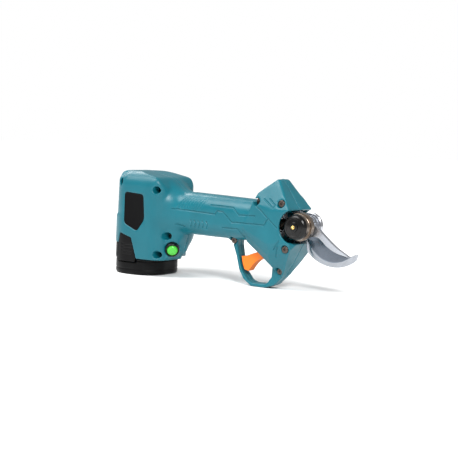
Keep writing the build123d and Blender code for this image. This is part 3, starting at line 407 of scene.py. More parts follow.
def moulded(name, rgb, rough, grain=2600, grain_depth=0.05, wear=0.35, coat=0.0, specular=0.5):
    """Moulded plastic: fine spark-eroded grain, slight clouding, and paler rubbed edges."""
    r = Recipe(name, Coat_Weight=coat, Coat_Roughness=0.25, Specular_IOR_Level=specular)
    clouds = r.spread(r.noise(35, 4), 0.3, 0.7, 0.0, 1.0)
    body = r.mix(clouds, shade(rgb, 0.90), shade(rgb, 1.10))
    rubbed = r.add("ShaderNodeMath", {0: r.edges(), 1: r.spread(r.noise(180, 3), 0.35, 0.7, 0.0, wear)},
                   operation="MULTIPLY").outputs[0]
    r.feed("Base Color", r.mix(rubbed, body, shade(rgb, 1.9, 0.25)))
    r.feed("Roughness", r.spread(r.noise(120, 3), 0.3, 0.7, rough - 0.05, rough + 0.07))
    fine = r.bump(r.noise(grain, 2, rough=0.7), grain_depth * MM, 0.55)
    r.feed("Normal", r.bump(r.noise(70, 2), 0.10 * MM, 0.35, fine))
    return r.material


def ground(name, rgb, rough, lines, turn=(0, 0, 0), depth=0.006, stain=0.12, anisotropy=0.4):
    """Ground metal: fine lines across the part, faint stains and bright edges."""
    r = Recipe(name, Metallic=1.0, Anisotropic=anisotropy)
    streaks = r.noise(1.0, 3, r.stretched(lines, turn), 0.6)
    stains = r.spread(r.noise(90, 5, rough=0.65), 0.45, 0.75, 0.0, stain * 2)
    body = r.mix(r.spread(streaks, 0.3, 0.7, 0.0, 1.0), shade(rgb, 0.86), shade(rgb, 1.12))
    stained = r.mix(stains, body, shade(rgb, 0.55, 0.2))
    r.feed("Base Color", r.mix(r.edges(0.51, 0.57), stained, shade(rgb, 1.45)))
    r.feed("Roughness", r.spread(streaks, 0.3, 0.7, rough - 0.07, rough + 0.10))
    r.feed("Normal", r.bump(streaks, depth * MM, 0.6))
    return r.material


def turned(name, rgb, rough, rings=2200, depth=0.008, centre=None, stain=0.25, metallic=1.0):
    """Turned metal: concentric tool marks round the pivot."""
    r = Recipe(name, Metallic=metallic, Anisotropic=0.3)
    away = r.add("ShaderNodeVectorMath", {0: r.place, 1: centre or PIVOT}, operation="SUBTRACT").outputs[0]
    flat = r.add("ShaderNodeVectorMath", {0: away, 1: (1, 0, 1)}, operation="MULTIPLY").outputs[0]
    radius = r.add("ShaderNodeVectorMath", {0: flat}, operation="LENGTH").outputs["Value"]
    marks = r.add("ShaderNodeTexNoise", {"W": radius, "Scale": rings, "Detail": 2.0}, noise_dimensions="1D")
    marks = marks.outputs["Fac"]
    grime = r.spread(r.noise(160, 5, rough=0.7), 0.40, 0.72, 0.0, stain)
    body = r.mix(r.spread(marks, 0.3, 0.7, 0.0, 1.0), shade(rgb, 0.72), shade(rgb, 1.35))
    r.feed("Base Color", r.mix(r.edges(0.51, 0.57), r.mix(grime, body, shade(rgb, 0.35, 0.3)), shade(rgb, 1.5)))
    r.feed("Roughness", r.spread(marks, 0.3, 0.7, rough - 0.06, rough + 0.12))
    r.feed("Normal", r.bump(marks, depth * MM, 0.7))
    return r.material


def cast(name, rgb, rough, metallic=1.0):
    """Plain metal with a fine blasted surface."""
    r = Recipe(name, Metallic=metallic)
    spots = r.noise(1500, 3, rough=0.6)
    r.feed("Base Color", r.mix(r.spread(r.noise(60, 4), 0.3, 0.7, 0, 1), shade(rgb, 0.82), shade(rgb, 1.15)))
    r.feed("Roughness", r.spread(spots, 0.3, 0.7, rough - 0.05, rough + 0.1))
    r.feed("Normal", r.bump(spots, 0.02 * MM, 0.5))
    return r.material


def wound(name, rgb):
    """Enamelled wire: fine turns round each coil, with painted shade in the troughs between turns and painted light on
    their crests.
    """
    r = Recipe(name, Metallic=1.0, Coat_Weight=0.5)
    along = r.add("ShaderNodeSeparateXYZ", {0: r.place}).outputs["X"]
    turns = r.add("ShaderNodeMath", {0: along, 1: 2 * math.pi / (0.6 * MM)}, operation="MULTIPLY").outputs[0]
    turn_wave_and_painted_shade = r.add("ShaderNodeMath", {0: turns}, operation="SINE").outputs[0]
    # Painted shade and light: the colour darkens in the troughs between turns and lightens on their crests, following
    # the bump.
    r.feed("Base Color", r.mix(r.spread(turn_wave_and_painted_shade, -1, 1, 0, 1), shade(rgb, 0.6), shade(rgb, 1.15)))
    r.feed("Roughness", r.spread(r.noise(300), 0.3, 0.7, 0.25, 0.4))
    r.feed("Normal", r.bump(turn_wave_and_painted_shade, 0.12 * MM, 0.8))
    return r.material


def circuit(name, rgb):
    """Solder resist over faint tracks."""
    r = Recipe(name, Coat_Weight=0.6, Coat_Roughness=0.15)
    cells = r.add("ShaderNodeTexVoronoi", {"Vector": r.place, "Scale": 420.0}, distance="MANHATTAN",
                  feature="DISTANCE_TO_EDGE").outputs["Distance"]
    tracks = r.spread(cells, 0.02, 0.06, 1.0, 0.0)
    r.feed("Base Color", r.mix(tracks, shade(rgb, 0.9), shade(rgb, 1.7)))
    r.feed("Roughness", r.spread(r.noise(400), 0.3, 0.7, 0.3, 0.45))
    r.feed("Normal", r.bump(tracks, 0.03 * MM, 0.6))
    return r.material


def finishes():
    """Every finish of the tool by its material slot, made once."""
    c = bpy.context.scene.pruner_colours
    if "blade_hollow" + FINISH not in bpy.data.materials:
        moulded("shell_plastic", c.shell, 0.34, coat=0.05, specular=0.34)
        moulded("badge_plastic", c.black, 0.38, grain=1800, grain_depth=0.008, wear=0.1, specular=0.08)
        moulded("battery_plastic", c.black, 0.42, grain=2000, grain_depth=0.04, wear=0.5, specular=0.12)
        moulded("cap_plastic", c.gloss_black, 0.24, grain=1200, grain_depth=0.006, wear=0.4, coat=0.12, specular=0.25)
        moulded("trigger_plastic", c.orange, 0.40, grain_depth=0.03, wear=0.15)
        moulded("button_plastic", c.green, 0.28, grain_depth=0.01, wear=0.1, coat=0.3)
        moulded("component_resin", c.black, 0.5, wear=0.6)
        moulded("wire_cover", c.wire, 0.45, grain=900, wear=0.1)
        moulded("cell_wrap", c.wrap, 0.3, grain=700, grain_depth=0.02, wear=0.2, coat=0.3)
        cast("screw_steel", c.bronze, 0.30)
        cast("motor_metal", c.alloy, 0.40)
        cast("lamination_steel", c.alloy, 0.5)
        cast("magnet_metal", c.alloy, 0.3)
        cast("bearing_steel", c.bright, 0.18)
        cast("spring_steel", c.steel, 0.3)
        turned("brass", c.brass, 0.24, rings=3000)
        turned("bright_steel", c.bright, 0.24, rings=900, depth=0.003)
        turned("gear_steel", c.gear, 0.27, rings=1700, depth=0.02, stain=0.6)
        ground("blade_steel", c.steel, 0.30, (60, 60, 2600), (0, math.radians(52), 0))
        # The hollow's finish: its own lower roughness and finer grinding lines, with a painted dark reflection in its
        # colour.
        ground("blade_hollow", c.hollow, 0.22, (60, 60, 3200), (0, math.radians(40), 0), 0.004, 0.3)
        wound("copper_wire", c.copper)
        circuit("circuit_board", c.board)
    return {m.name.removesuffix(FINISH): m for m in bpy.data.materials if m.name.endswith(FINISH)}


# ---------------------------------------------------------------- the housing's form

# The housing's back: height, and how far forward it stands there
REAR_LEAN = ((57.5, 0.0), (60.5, 2.0), (94.0, 3.4), (103.7, 9.5))


def round_corners(co, half=32.0, corner=15.0, end=0.0, sign=1, reach=24.0):
    """Draw in the two corners of the housing or the pack at one end, to an oval plan."""
    x, z = surface_place(co)
    along, out = reach - (x - end) * sign, np.abs(co[:, 1]) / MM - (half - reach)
    inside = (along > 0) & (out > 0)
    away = np.where(inside, np.hypot(along, out), 1.0)
    sine, cosine = np.where(inside, along, 0) / away, np.where(inside, out, 1) / away
    small, large = np.minimum(sine, cosine), np.maximum(sine, cosine)
    step = reach - corner
    middle = step * (sine + cosine)
    arc = middle + np.sqrt(np.maximum(middle ** 2 - 2 * step ** 2 + corner ** 2, 0))
    back = reach - np.interp(z, *zip(*REAR_LEAN))
    plan = np.minimum(np.where(reach * small < step * large, reach / large, arc), back / np.maximum(sine, 1e-6))
    oval = 1 / np.hypot(cosine / reach, sine / back)
    ratio = np.minimum(oval / plan, 1)
    co[:, 0] = np.where(inside, CAD_BOX[0].x + (end + sign * (reach - along * ratio)) * MM, co[:, 0])
    co[:, 1] = np.where(inside, np.sign(co[:, 1]) * (half - reach + out * ratio) * MM, co[:, 1])
    return co


def tuck_chin(co, reach=10.0):
    """Slope the far front of the housing's foot back, under the grip."""
    x, z = surface_place(co)
    along = ramp(x, 52, 68) * (1 - ramp(x, 84, 96))
    low = 1 - ramp(z, 18, 44)
    far = ramp(co[:, 1] / MM, 3, 18)
    co[:, 0] -= reach * along * low * far * MM
    return co


# ---------------------------------------------------------------- the shells' details

# Grooves pressed into both sides, in millimetres from the rear and up from the ground
GROOVES = (
    ((73.5, 68.5), (98, 67.6), (122.5, 66.5), (125.5, 69.9), (131.5, 69.5), (142, 60.2), (180, 60.5), (183.6, 66.6)),
    ((117.3, 74.9), (142.8, 74.3), (150.1, 67.5), (168.7, 68.0)),
    ((77.2, 53.4), (86.5, 51.6)),
    ((132.5, 54.2), (149.3, 54.2), (154.8, 46.8)),
    ((167.0, 79.5), (177.0, 72.5), (194.0, 59.0)),
    ((177.3, 84.6), (188.6, 76.9), (190.4, 79.4), (183.2, 84.9)),
    ((190.8, 38.5), (196.4, 47.0), (192.3, 32.0)),
)
CHEVRON_X = (94.0, 98.7, 103.4, 108.1, 112.8)
CHEVRON_Z = (52.2, 58.6)
RIB_Z = (69.0, 80.4)
RIB_X = (76.5, 105.5)
RIB_LEAN = 0.62
SCREW_BORES = ((14.0, 92.0), (60.0, 86.0), (68.5, 41.0), (62.0, 22.3), (169.2, 81.8))
HEAD_BOLTS = ((196.0, 81.3), (203.0, 40.0))
BUTTON_AXIS = Vector((0.597, -0.696, -0.398))
BEZEL_MIDDLE = -2.7


def chevrons():
    """Small marks that bulge forward, one after another along the grip."""
    low, high = CHEVRON_Z
    return [through([(x, high), (x + 1.3, (low + high) / 2), (x - 0.3, low)], 4) for x in CHEVRON_X]


def rib_depth(x, z, sizes):
    """0 to 1 across each slanted rib, and 0 outside their panel."""
    lean = x - (z - RIB_Z[0]) * RIB_LEAN
    panel = ramp(lean, RIB_X[0], RIB_X[0] + 1) * (1 - ramp(lean, RIB_X[1] - 1, RIB_X[1]))
    panel = panel * ramp(z, RIB_Z[0], RIB_Z[0] + 0.8) * (1 - ramp(z, RIB_Z[1] - 1.2, RIB_Z[1]))
    return panel * (0.5 - 0.5 * np.cos(2 * math.pi * (lean - RIB_X[0]) / (sizes.rib_pitch / MM)))


def button_origin():
    """Where the power button's axis meets the shell."""
    low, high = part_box("button_bezel")
    return (low + high) / 2 - BUTTON_AXIS.normalized() * BEZEL_MIDDLE * MM


def flare_weight(co, outer):
    """Where the housing flows into the grip: 1 there, 0 at bores, rims, button and parting line."""
    x, z = (co[:, 0] - CAD_BOX[0].x) / MM, co[:, 2] / MM
    weight = ramp(x, 40, 56) * (1 - ramp(x, 100, 114)) * ramp(z, 18, 24) * outer
    for bore_x, bore_z in SCREW_BORES:
        weight *= ramp(np.hypot(x - bore_x, z - bore_z), 4.6, 9.5)
    button = np.linalg.norm(co - np.array(button_origin()), axis=1) / MM
    return weight * ramp(button, 8.0, 13.0)


def head_weight(co, outer):
    """The head's long edges: 1 on them, 0 at its bolts, its recess and the guard."""
    x, z = surface_place(co)
    weight = ramp(x, 174, 182) * ramp(z, 42, 54) * outer
    for bolt_x, bolt_z in HEAD_BOLTS:
        weight *= ramp(np.hypot(x - bolt_x, z - bolt_z), 5.4, 8.5)
    return weight * ramp(np.hypot(x - PIVOT_X, z - AXIS_Z), 19.5, 23.0)


def outer_points(mesh, side):
    """1 for points of the outer surface, 0 for the walls inside."""
    co, normal = points_of(mesh), normals_of(mesh)
    corners = [tuple(p.vertices) for p in mesh.polygons]
    tree = BVHTree.FromPolygons([Vector(p) for p in co], corners)
    found = np.zeros(len(co))
    for k in np.flatnonzero(normal[:, 1] * side > -0.15):
        step = Vector(normal[k])
        found[k] = tree.ray_cast(Vector(co[k]) + step * 0.05 * MM, step)[0] is None
    return found


def split_finely(mesh, near):
    """Halve the mesh's edges between marked points, so that fine details have room."""
    work = bmesh.new()
    work.from_mesh(mesh)
    work.verts.ensure_lookup_table()
    chosen = [e for e in work.edges if near[e.verts[0].index] and near[e.verts[1].index]]
    bmesh.ops.subdivide_edges(work, edges=chosen, cuts=1, use_grid_fill=True)
    work.to_mesh(mesh)
    work.free()


def surface_place(co):
    """X and Z of points, in millimetres on the tool."""
    return (co[:, 0] - CAD_BOX[0].x) / MM, co[:, 2] / MM


def press_details(mesh, sizes):
    """Press the grooves, chevrons and ribs into the outer face."""
    runs = [*GROOVES, *chevrons()]
    x, z = surface_place(points_of(mesh))
    split_finely(mesh, (distance_to_runs(x, z, runs) < 1.8) & (facing_out(mesh) > 0))
    co, normal = points_of(mesh), normals_of(mesh)
    x, z = surface_place(co)
    half = sizes.groove_width / 2 / MM
    groove = 1 - ramp(distance_to_runs(x, z, runs), half * 0.25, half)
    depth = groove * sizes.groove_depth + rib_depth(x, z, sizes) * sizes.rib_height
    place_points(mesh, co - normal * (depth * facing_out(mesh))[:, None])


def facing_out(mesh):
    """1 where the surface looks away from the tool's middle, 0 where it looks in."""
    co, normal = points_of(mesh), normals_of(mesh)
    out = np.stack([np.zeros(len(co)), co[:, 1], (co[:, 2] - AXIS_Z * MM) * 0.7], 1)
    out /= np.maximum(np.linalg.norm(out, axis=1), 1e-9)[:, None]
    return ramp((out * normal).sum(1), 0.35, 0.6)


def shell_half(node, name, side):
    """One moulded half, softened at its edges and flare, with its surface details."""
    sizes = bpy.context.scene.pruner_sizes
    mesh = even_mesh(node, name, sizes.skin_step)
    place_points(mesh, round_corners(points_of(mesh)))
    start = points_of(mesh)
    seam = np.abs(start[:, 1]) < 0.45 * MM
    relax(mesh, sizes.edge_passes)
    outer = outer_points(mesh, side)
    relax(mesh, sizes.flare_passes, flare_weight(start, outer))
    relax(mesh, sizes.flare_passes // 2, head_weight(start, outer))
    co = points_of(mesh)
    co[seam, 1] = start[seam, 1]
    place_points(mesh, tuck_chin(co))
    press_details(mesh, sizes)
    return piece(name, mesh, [finishes()["shell_plastic"]], "tool", [node])


class PRUNER_OT_shells(bpy.types.Operator):
    """Mould the left and right shells"""

    bl_idname = "pruner.shells"
    bl_label = "Shells"

    def execute(self, context):
        shell_half("right_shell", "right_moulding", -1)
        shell_half("left_shell", "left_moulding", 1)
        return {"FINISHED"}


# ---------------------------------------------------------------- badges, battery and latches

BADGE_OUTLINE = ((22.0, 51.0), (22.0, 82.5), (45.5, 81.0), (47.5, 56.0), (38.5, 44.0))
PACK_LINE_Z = 5.3
PACK_FRONT, PACK_HALF, PACK_CORNER = 57.0, 30.5, 14.0


class PRUNER_OT_badges(bpy.types.Operator):
    """Make the plain plates set in the housing's sides"""

    bl_idname = "pruner.badges"
    bl_label = "Side plates"

    def execute(self, context):
        outline = rounded(BADGE_OUTLINE, 4.0)
        levels = [(0, 30.7), (0, 31.45), (0.15, 31.55), (0.35, 31.6), (0.9, 31.6), (1.15, 31.42), (1.4, 31.4)]
        for node, name, side in (("right_badge", "right_plate", -1), ("left_badge", "left_plate", 1)):
            mesh = plate(name, outline, levels, side)
            place_points(mesh, round_corners(points_of(mesh)))
            piece(name, mesh, [finishes()["badge_plastic"]], "tool", [node])
        return {"FINISHED"}


class PRUNER_OT_battery(bpy.types.Operator):
    """Mould the battery pack's cover, tray and side latches"""

    bl_idname = "pruner.battery"
    bl_label = "Battery pack"

    def execute(self, context):
        black = finishes()["battery_plastic"]
        for node, name in (("pack_lower", "pack_tray"), ("pack_upper", "pack_cover")):
            mesh = even_mesh(node, name, context.scene.pruner_sizes.skin_step)
            relax(mesh, 3)
            co = round_corners(points_of(mesh), PACK_HALF, PACK_CORNER)
            if node == "pack_lower":
                co = round_corners(co, PACK_HALF, PACK_CORNER, PACK_FRONT, -1)
            place_points(mesh, co)
            if node == "pack_lower":
                self.ring_line(mesh)
            piece(name, mesh, [black], "battery_pack", [node])
        self.screws()
        for node in ("right_latch", "left_latch"):
            name = node + "_panel"
            mesh = even_mesh(node, name, context.scene.pruner_sizes.small_step)
            relax(mesh, 3)
            place_points(mesh, round_corners(points_of(mesh)))
            piece(name, mesh, [black], name, [node])
        return {"FINISHED"}

    def screws(self):
        """The pack's screws, drawn in with the tray's corners."""
        mesh = frame["nodes"]["pack_screws"].data.copy()
        mesh.name = "tray_screws"
        mesh.materials.clear()
        co = round_corners(points_of(mesh), PACK_HALF, PACK_CORNER)
        place_points(mesh, round_corners(co, PACK_HALF, PACK_CORNER, PACK_FRONT, -1))
        piece("tray_screws", mesh, [finishes()["screw_steel"]], "battery_pack", ["pack_screws"])

    def ring_line(self, mesh):
        """A shallow line round the tray, near its lower edge."""
        co, normal = points_of(mesh), normals_of(mesh)
        middle = np.array(at(28.5, 0, 0))
        out = (co - middle)[:, :2]
        out /= np.maximum(np.linalg.norm(out, axis=1), 1e-9)[:, None]
        outward = ramp((out * normal[:, :2]).sum(1), 0.2, 0.5)
        line = 1 - ramp(np.abs(co[:, 2] / MM - PACK_LINE_Z), 0.2, 0.75)
        place_points(mesh, co - normal * (line * outward * 0.4 * MM)[:, None])


# ---------------------------------------------------------------- blades and pivot

# Outlines in millimetres: the moving blade's back, the ridge where its hollow starts, and its edge
SPINE = ((214.8, 69.0), (223.8, 62.6), (235.8, 52.3), (246.5, 44.1), (258.9, 37.0))
RIDGE = ((215.0, 50.6), (226.5, 52.0), (236.5, 44.5), (246.0, 39.6), (258.6, 36.6))
EDGE = ((214.2, 47.6), (216.4, 44.6), (221.6, 38.2), (230.0, 32.3), (240.4, 29.9), (250.5, 31.6), (258.7, 36.2))
HOOK_BACK = ((213.0, 45.2), (215.6, 36.0), (223.5, 29.9), (234.1, 26.2), (244.4, 25.5), (254.5, 27.9), (263.9, 33.9))
BLADE_NEAR, BLADE_FAR = -3.0, 0.95
HOOK_NEAR, HOOK_FAR = 1.05, 5.5


def resampled(points, count):
    """The same number of points along a curve, evenly apart."""
    p = np.array(through(points))
    run = np.concatenate([[0], np.cumsum(np.linalg.norm(np.diff(p, axis=0), axis=1))])
    at_runs = np.linspace(0, run[-1], count)
    return np.stack([np.interp(at_runs, run, p[:, k]) for k in (0, 1)], 1)


def blade_body(stations=72, hollow_rows=14):
    """The moving blade: a flat back, a thick spine, and a hollow ground down to the edge."""
    spine, ridge, edge = (resampled(c, stations) for c in (SPINE, RIDGE, EDGE))
    rows = [(spine, BLADE_FAR), (spine, BLADE_NEAR + 0.5)]
    inward = (ridge - spine) / np.linalg.norm(ridge - spine, axis=1)[:, None]
    rows.append((spine + inward * np.minimum(0.5, np.linalg.norm(ridge - spine, axis=1) / 3)[:, None], BLADE_NEAR))
    rows.append((ridge, BLADE_NEAR))
    for k in range(1, hollow_rows + 1):
        t = k / hollow_rows
        rows.append((ridge * (1 - t) + edge * t, BLADE_NEAR + (BLADE_FAR - BLADE_NEAR - 0.2) * (1 - (1 - t) ** 2)))
    rows.append((edge, BLADE_FAR))
    verts = [at(p[k][0], y, p[k][1]) for k in range(stations) for p, y in rows]
    count = len(rows)
    # The faces from the ridge to the edge take the second finish, which carries the hollow's painted dark reflection.
    faces, hollow = [], []
    for k in range(stations - 1):
        for n in range(count):
            m = (n + 1) % count
            faces.append([k * count + n, k * count + m, (k + 1) * count + m, (k + 1) * count + n])
            hollow.append(1 if 3 <= n < 3 + hollow_rows else 0)
    faces += [list(range(count)), list(range(len(verts) - count, len(verts)))]
    mesh = mesh_of("cutting_blade", verts, faces)
    for polygon, mark in zip(mesh.polygons, hollow + [0, 0]):
        polygon.material_index = mark
    tidy_normals(mesh)
    return mesh


class PRUNER_OT_moving_blade(bpy.types.Operator):
    """Grind the moving blade"""

    bl_idname = "pruner.moving_blade"
    bl_label = "Moving blade"

    def execute(self, context):
        steel = [finishes()["blade_steel"], finishes()["blade_hollow"]]
        blade = piece("cutting_blade", blade_body(), steel, "cutting_blade", ["moving_blade"])
        profile = [(5.05, -BLADE_FAR), (8.8, -BLADE_FAR), (8.8, -BLADE_NEAR), (5.05, -BLADE_NEAR), (5.05, -BLADE_FAR)]
        eye = bpy.data.objects.new("eye", lathe("eye", profile, at(PIVOT_X, 0, AXIS_Z), (0, -1, 0)))
        bpy.context.scene.collection.objects.link(eye)
        weld_ring(eye.data)
        joined = blade.modifiers.new("eye", "BOOLEAN")
        joined.operation = "UNION"
        joined.object = eye
        joined.solver = "EXACT"
        graph = bpy.context.evaluated_depsgraph_get()
        mesh = bpy.data.meshes.new_from_object(blade.evaluated_get(graph))
        blade.modifiers.clear()
        blade.data = mesh
        bpy.data.objects.remove(eye)
        mesh.set_sharp_from_angle(angle=math.radians(24))
        return {"FINISHED"}


def weld_ring(mesh):
    """Join the points that lie on each other."""
    work = bmesh.new()
    work.from_mesh(mesh)
    bmesh.ops.remove_doubles(work, verts=work.verts, dist=0.001 * MM)
    bmesh.ops.recalc_face_normals(work, faces=work.faces)
    work.to_mesh(mesh)
    work.free()


def turned_piece(name, profile, origin, axis, steps, body, slot, node, sharp):
    """A turned piece that stands for a node, with its edges sharp above an angle in degrees."""
    mesh = lathe(name, profile, origin, axis, steps)
    weld_ring(mesh)
    piece(name, mesh, [finishes()[slot]], body, [node])
    mesh.set_sharp_from_angle(angle=math.radians(sharp))
    return mesh


class PRUNER_OT_hook_blade(bpy.types.Operator):
    """Grind the hooked blade, with a bevel along its back"""

    bl_idname = "pruner.hook_blade"
    bl_label = "Hook blade"

    bevel_width = 4.4
    bevel_drop = 1.7

    def execute(self, context):
        mesh = even_mesh("hook_blade", "hooked_blade", 0.25 * MM)
        relax(mesh, 3)
        co, normal = points_of(mesh), normals_of(mesh)
        x, z = surface_place(co)
        away = distance_to_runs(x, z, [through(HOOK_BACK)])
        drop = np.clip(1 - away / self.bevel_width, 0, 1) * self.bevel_drop * ramp(x, 213, 219)
        middle = (HOOK_NEAR + HOOK_FAR) / 2
        share = np.clip((middle - co[:, 1] / MM) / (middle - HOOK_NEAR), 0, 1)
        far_share = np.clip((co[:, 1] / MM - middle) / (HOOK_FAR - middle), 0, 1)
        co[:, 1] += (drop * share - 0.6 * drop * far_share) * MM
        place_points(mesh, co)
        piece("hooked_blade", mesh, [finishes()["blade_steel"]], "tool", ["hook_blade"])
        mesh.set_sharp_from_angle(angle=math.radians(24))
        return {"FINISHED"}


class PRUNER_OT_pivot(bpy.types.Operator):
    """Turn the pivot's cap and its grease nipple"""

    bl_idname = "pruner.pivot"
    bl_label = "Pivot cap"

    skirt = 18.9

    def execute(self, context):
        origin = at(PIVOT_X, 0, AXIS_Z)
        # The dome sits on a turned metal skirt
        cap = [(1.9, 19.6), (1.9, 23.6), (2.15, 23.95), (3.8, 24.0), (4.25, 23.8), (4.4, 23.35), (4.5, 22.75),
               (4.8, 22.55), (7.6, 22.5), (8.0, 22.3), (8.25, 22.42), (9.3, 22.15), (10.5, 21.4), (11.4, 20.2),
               (11.85, 18.8), (12.0, 17.2), (12.0, 15.0), (11.75, 14.8), (11.75, 14.4), (12.0, 14.2), (11.9, 13.1),
               (10.4, 13.1), (10.4, 19.4), (1.9, 19.6)]
        mesh = turned_piece("domed_cap", cap, origin, (0, -1, 0), 128, "tool", "cap_plastic", "pivot_cap", 40)
        mesh.materials.append(finishes()["gear_steel"])
        for polygon in mesh.polygons:
            polygon.material_index = int(-polygon.center.y / MM < self.skirt)
        nipple = [(0, 25.2), (0.35, 25.3), (0.42, 25.75), (0.8, 25.85), (1.2, 25.5), (1.35, 25.05), (1.1, 24.6),
                  (1.25, 24.35), (1.6, 24.2), (1.6, 14.0), (0, 14.0)]
        turned_piece("nipple", nipple, origin, (0, -1, 0), 48, "tool", "brass", "grease_nipple", 40)
        return {"FINISHED"}


# ---------------------------------------------------------------- trigger and button

class PRUNER_OT_trigger(bpy.types.Operator):
    """Mould the finger trigger"""

    bl_idname = "pruner.trigger"
    bl_label = "Trigger"

    def execute(self, context):
        mesh = even_mesh("trigger", "finger_trigger", context.scene.pruner_sizes.small_step)
        relax(mesh, 14)
        piece("finger_trigger", mesh, [finishes()["trigger_plastic"]], "trigger_lever", ["trigger"])
        return {"FINISHED"}


class PRUNER_OT_button(bpy.types.Operator):
    """Make the domed power button and its ring"""

    bl_idname = "pruner.button"
    bl_label = "Power button"

    def execute(self, context):
        origin = button_origin()
        dome = [(0, 2.35), (1.4, 2.3), (2.5, 2.12), (2.8, 1.9), (3.1, 1.98), (4.2, 1.5), (4.95, 0.85), (5.3, 0.1),
                (5.4, -0.6), (5.4, -3.0), (0, -3.0)]
        turned_piece("button_dome", dome, origin, BUTTON_AXIS, 64, "button", "button_plastic", "power_button", 50)
        ring = [(5.75, -6.6), (5.75, 0.2), (5.95, 0.5), (6.4, 0.6), (6.7, 0.5), (7.0, 0.1), (7.2, -0.6), (7.2, -6.6),
                (5.75, -6.6)]
        turned_piece("button_ring", ring, origin, BUTTON_AXIS, 64, "tool", "cap_plastic", "button_bezel", 50)
        return {"FINISHED"}


# ---------------------------------------------------------------- finishes of the frame's own nodes

class PRUNER_OT_frame_finishes(bpy.types.Operator):
    """Give every node of the frame that still shows its finish"""

    bl_idname = "pruner.frame_finishes"
    bl_label = "Frame finishes"

    def execute(self, context):
        found = finishes()
        for part in frame["record"]["subparts"]:
            node = frame["nodes"][part["node"]]
            if not node.material_slots:
                node.data.materials.append(None)
            for place in node.material_slots:
                place.link = "OBJECT"
                place.material = found[part["material_slot"]]
        return {"FINISHED"}


# ---------------------------------------------------------------- stage

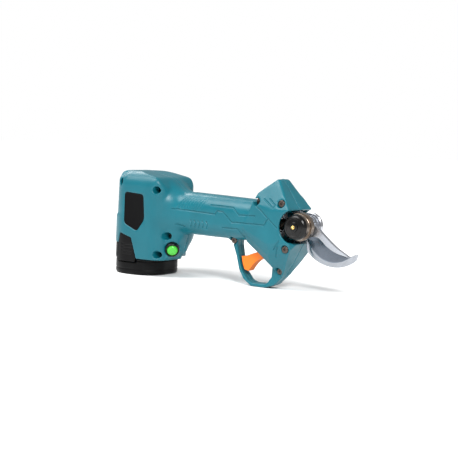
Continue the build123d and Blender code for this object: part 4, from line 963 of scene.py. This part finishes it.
class PRUNER_OT_stage(bpy.types.Operator):
    """Set the floor, the soft light and the camera"""

    bl_idname = "pruner.stage"
    bl_label = "Stage"

    lens = 80.96
    target = (127.4, 0.0, 51.8)
    sky_light = 0.42
    sun_from, sun_power, sun_angle = (-0.42, -0.50, 1.0), 2.7, 40.0
    lamps = (
        ("front_box", (0.75, -0.75, 0.80), 0.35, 13.0),
        ("rear_strip", (-0.80, 0.35, 0.75), 0.5, 4.0),
    )

    def execute(self, context):
        self.floor()
        self.sun()
        for name, place, size, power in self.lamps:
            self.lamp(name, Vector(place), size, power)
        self.sky(context)
        self.camera(context)
        context.scene.view_settings.view_transform = "Standard"
        return {"FINISHED"}

    def floor(self):
        reach = 12.0
        mesh = mesh_of("floor", [(x, y, -0.0002) for x, y in ((-reach, -reach), (reach, -reach), (reach, reach),
                                                              (-reach, reach))], [[0, 1, 2, 3]])
        obj = bpy.data.objects.new("floor", mesh)
        bpy.context.scene.collection.objects.link(obj)
        r = Recipe("floor_paper", Specular_IOR_Level=0.1)
        r.feed("Base Color", r.mix(r.noise(3), (0.94, 0.94, 0.94, 1), (0.97, 0.97, 0.97, 1)))
        r.shader.inputs["Roughness"].default_value = 0.9
        mesh.materials.append(r.material)

    def sun(self):
        data = bpy.data.lights.new("key", "SUN")
        data.energy, data.angle = self.sun_power, math.radians(self.sun_angle)
        self.aim("key", data, Vector(self.sun_from))

    def lamp(self, name, place, size, power):
        data = bpy.data.lights.new(name, "AREA")
        data.energy, data.size = power, size
        self.aim(name, data, place)

    def aim(self, name, data, place):
        obj = bpy.data.objects.new(name, data)
        obj.location = place
        obj.rotation_mode = "QUATERNION"
        obj.rotation_quaternion = (Vector((0, 0, 0.05)) - place).to_track_quat("-Z", "Y")
        bpy.context.scene.collection.objects.link(obj)

    def sky(self, context):
        world = bpy.data.worlds.new("soft_room")
        world.use_nodes = True
        tree = world.node_tree
        back = tree.nodes["Background"]
        back.inputs["Color"].default_value = (1, 1, 1, 1)
        back.inputs["Strength"].default_value = self.sky_light
        seen = tree.nodes.new("ShaderNodeBackground")
        blend = tree.nodes.new("ShaderNodeMixShader")
        rays = tree.nodes.new("ShaderNodeLightPath")
        tree.links.new(rays.outputs["Is Camera Ray"], blend.inputs[0])
        tree.links.new(back.outputs[0], blend.inputs[1])
        tree.links.new(seen.outputs[0], blend.inputs[2])
        tree.links.new(blend.outputs[0], tree.nodes["World Output"].inputs["Surface"])
        seen.inputs["Color"].default_value = (1, 1, 1, 1)
        context.scene.world = world

    def camera(self, context):
        sizes = context.scene.pruner_sizes
        a, e, roll = sizes.camera_azimuth, sizes.camera_height, sizes.camera_roll
        back = Vector((math.sin(a) * math.cos(e), -math.cos(a) * math.cos(e), math.sin(e)))
        right = Vector((math.cos(a), math.sin(a), 0))
        up = back.cross(right)
        right, up = right * math.cos(roll) + up * math.sin(roll), up * math.cos(roll) - right * math.sin(roll)
        data = bpy.data.cameras.new("camera")
        data.lens, data.sensor_width = self.lens, 36.0
        obj = bpy.data.objects.new("camera", data)
        turn = Matrix((right, up, back)).transposed().to_4x4()
        obj.matrix_world = Matrix.Translation(at(*self.target) + back * sizes.camera_distance) @ turn
        bpy.context.scene.collection.objects.link(obj)
        context.scene.camera = obj


# ---------------------------------------------------------------- panel and running order

ORDER = ("stage", "shells", "badges", "battery", "moving_blade", "hook_blade", "pivot", "trigger", "button",
         "frame_finishes")


class PRUNER_PT_panel(bpy.types.Panel):
    """The tool's pieces, sizes and colours"""

    bl_idname = "PRUNER_PT_panel"
    bl_label = "Battery pruner"
    bl_space_type = "VIEW_3D"
    bl_region_type = "UI"
    bl_category = "Pruner"

    def draw(self, context):
        for name in ORDER:
            self.layout.operator(f"pruner.{name}")
        for group in (context.scene.pruner_sizes, context.scene.pruner_colours):
            box = self.layout.box()
            for key in group.bl_rna.properties.keys():
                if key not in ("rna_type", "name"):
                    box.prop(group, key)


CLASSES = (PrunerSizes, PrunerColours, PRUNER_OT_stage, PRUNER_OT_shells, PRUNER_OT_badges, PRUNER_OT_battery,
           PRUNER_OT_moving_blade, PRUNER_OT_hook_blade, PRUNER_OT_pivot, PRUNER_OT_trigger, PRUNER_OT_button,
           PRUNER_OT_frame_finishes, PRUNER_PT_panel)


def register():
    for cls in CLASSES:
        bpy.utils.register_class(cls)
    bpy.types.Scene.pruner_sizes = PointerProperty(type=PrunerSizes)
    bpy.types.Scene.pruner_colours = PointerProperty(type=PrunerColours)


def unregister():
    del bpy.types.Scene.pruner_sizes
    del bpy.types.Scene.pruner_colours
    for cls in reversed(CLASSES):
        bpy.utils.unregister_class(cls)


def main():
    register()
    for name in ORDER:
        getattr(bpy.ops.pruner, name)()


if __name__ == "__main__":
    main()
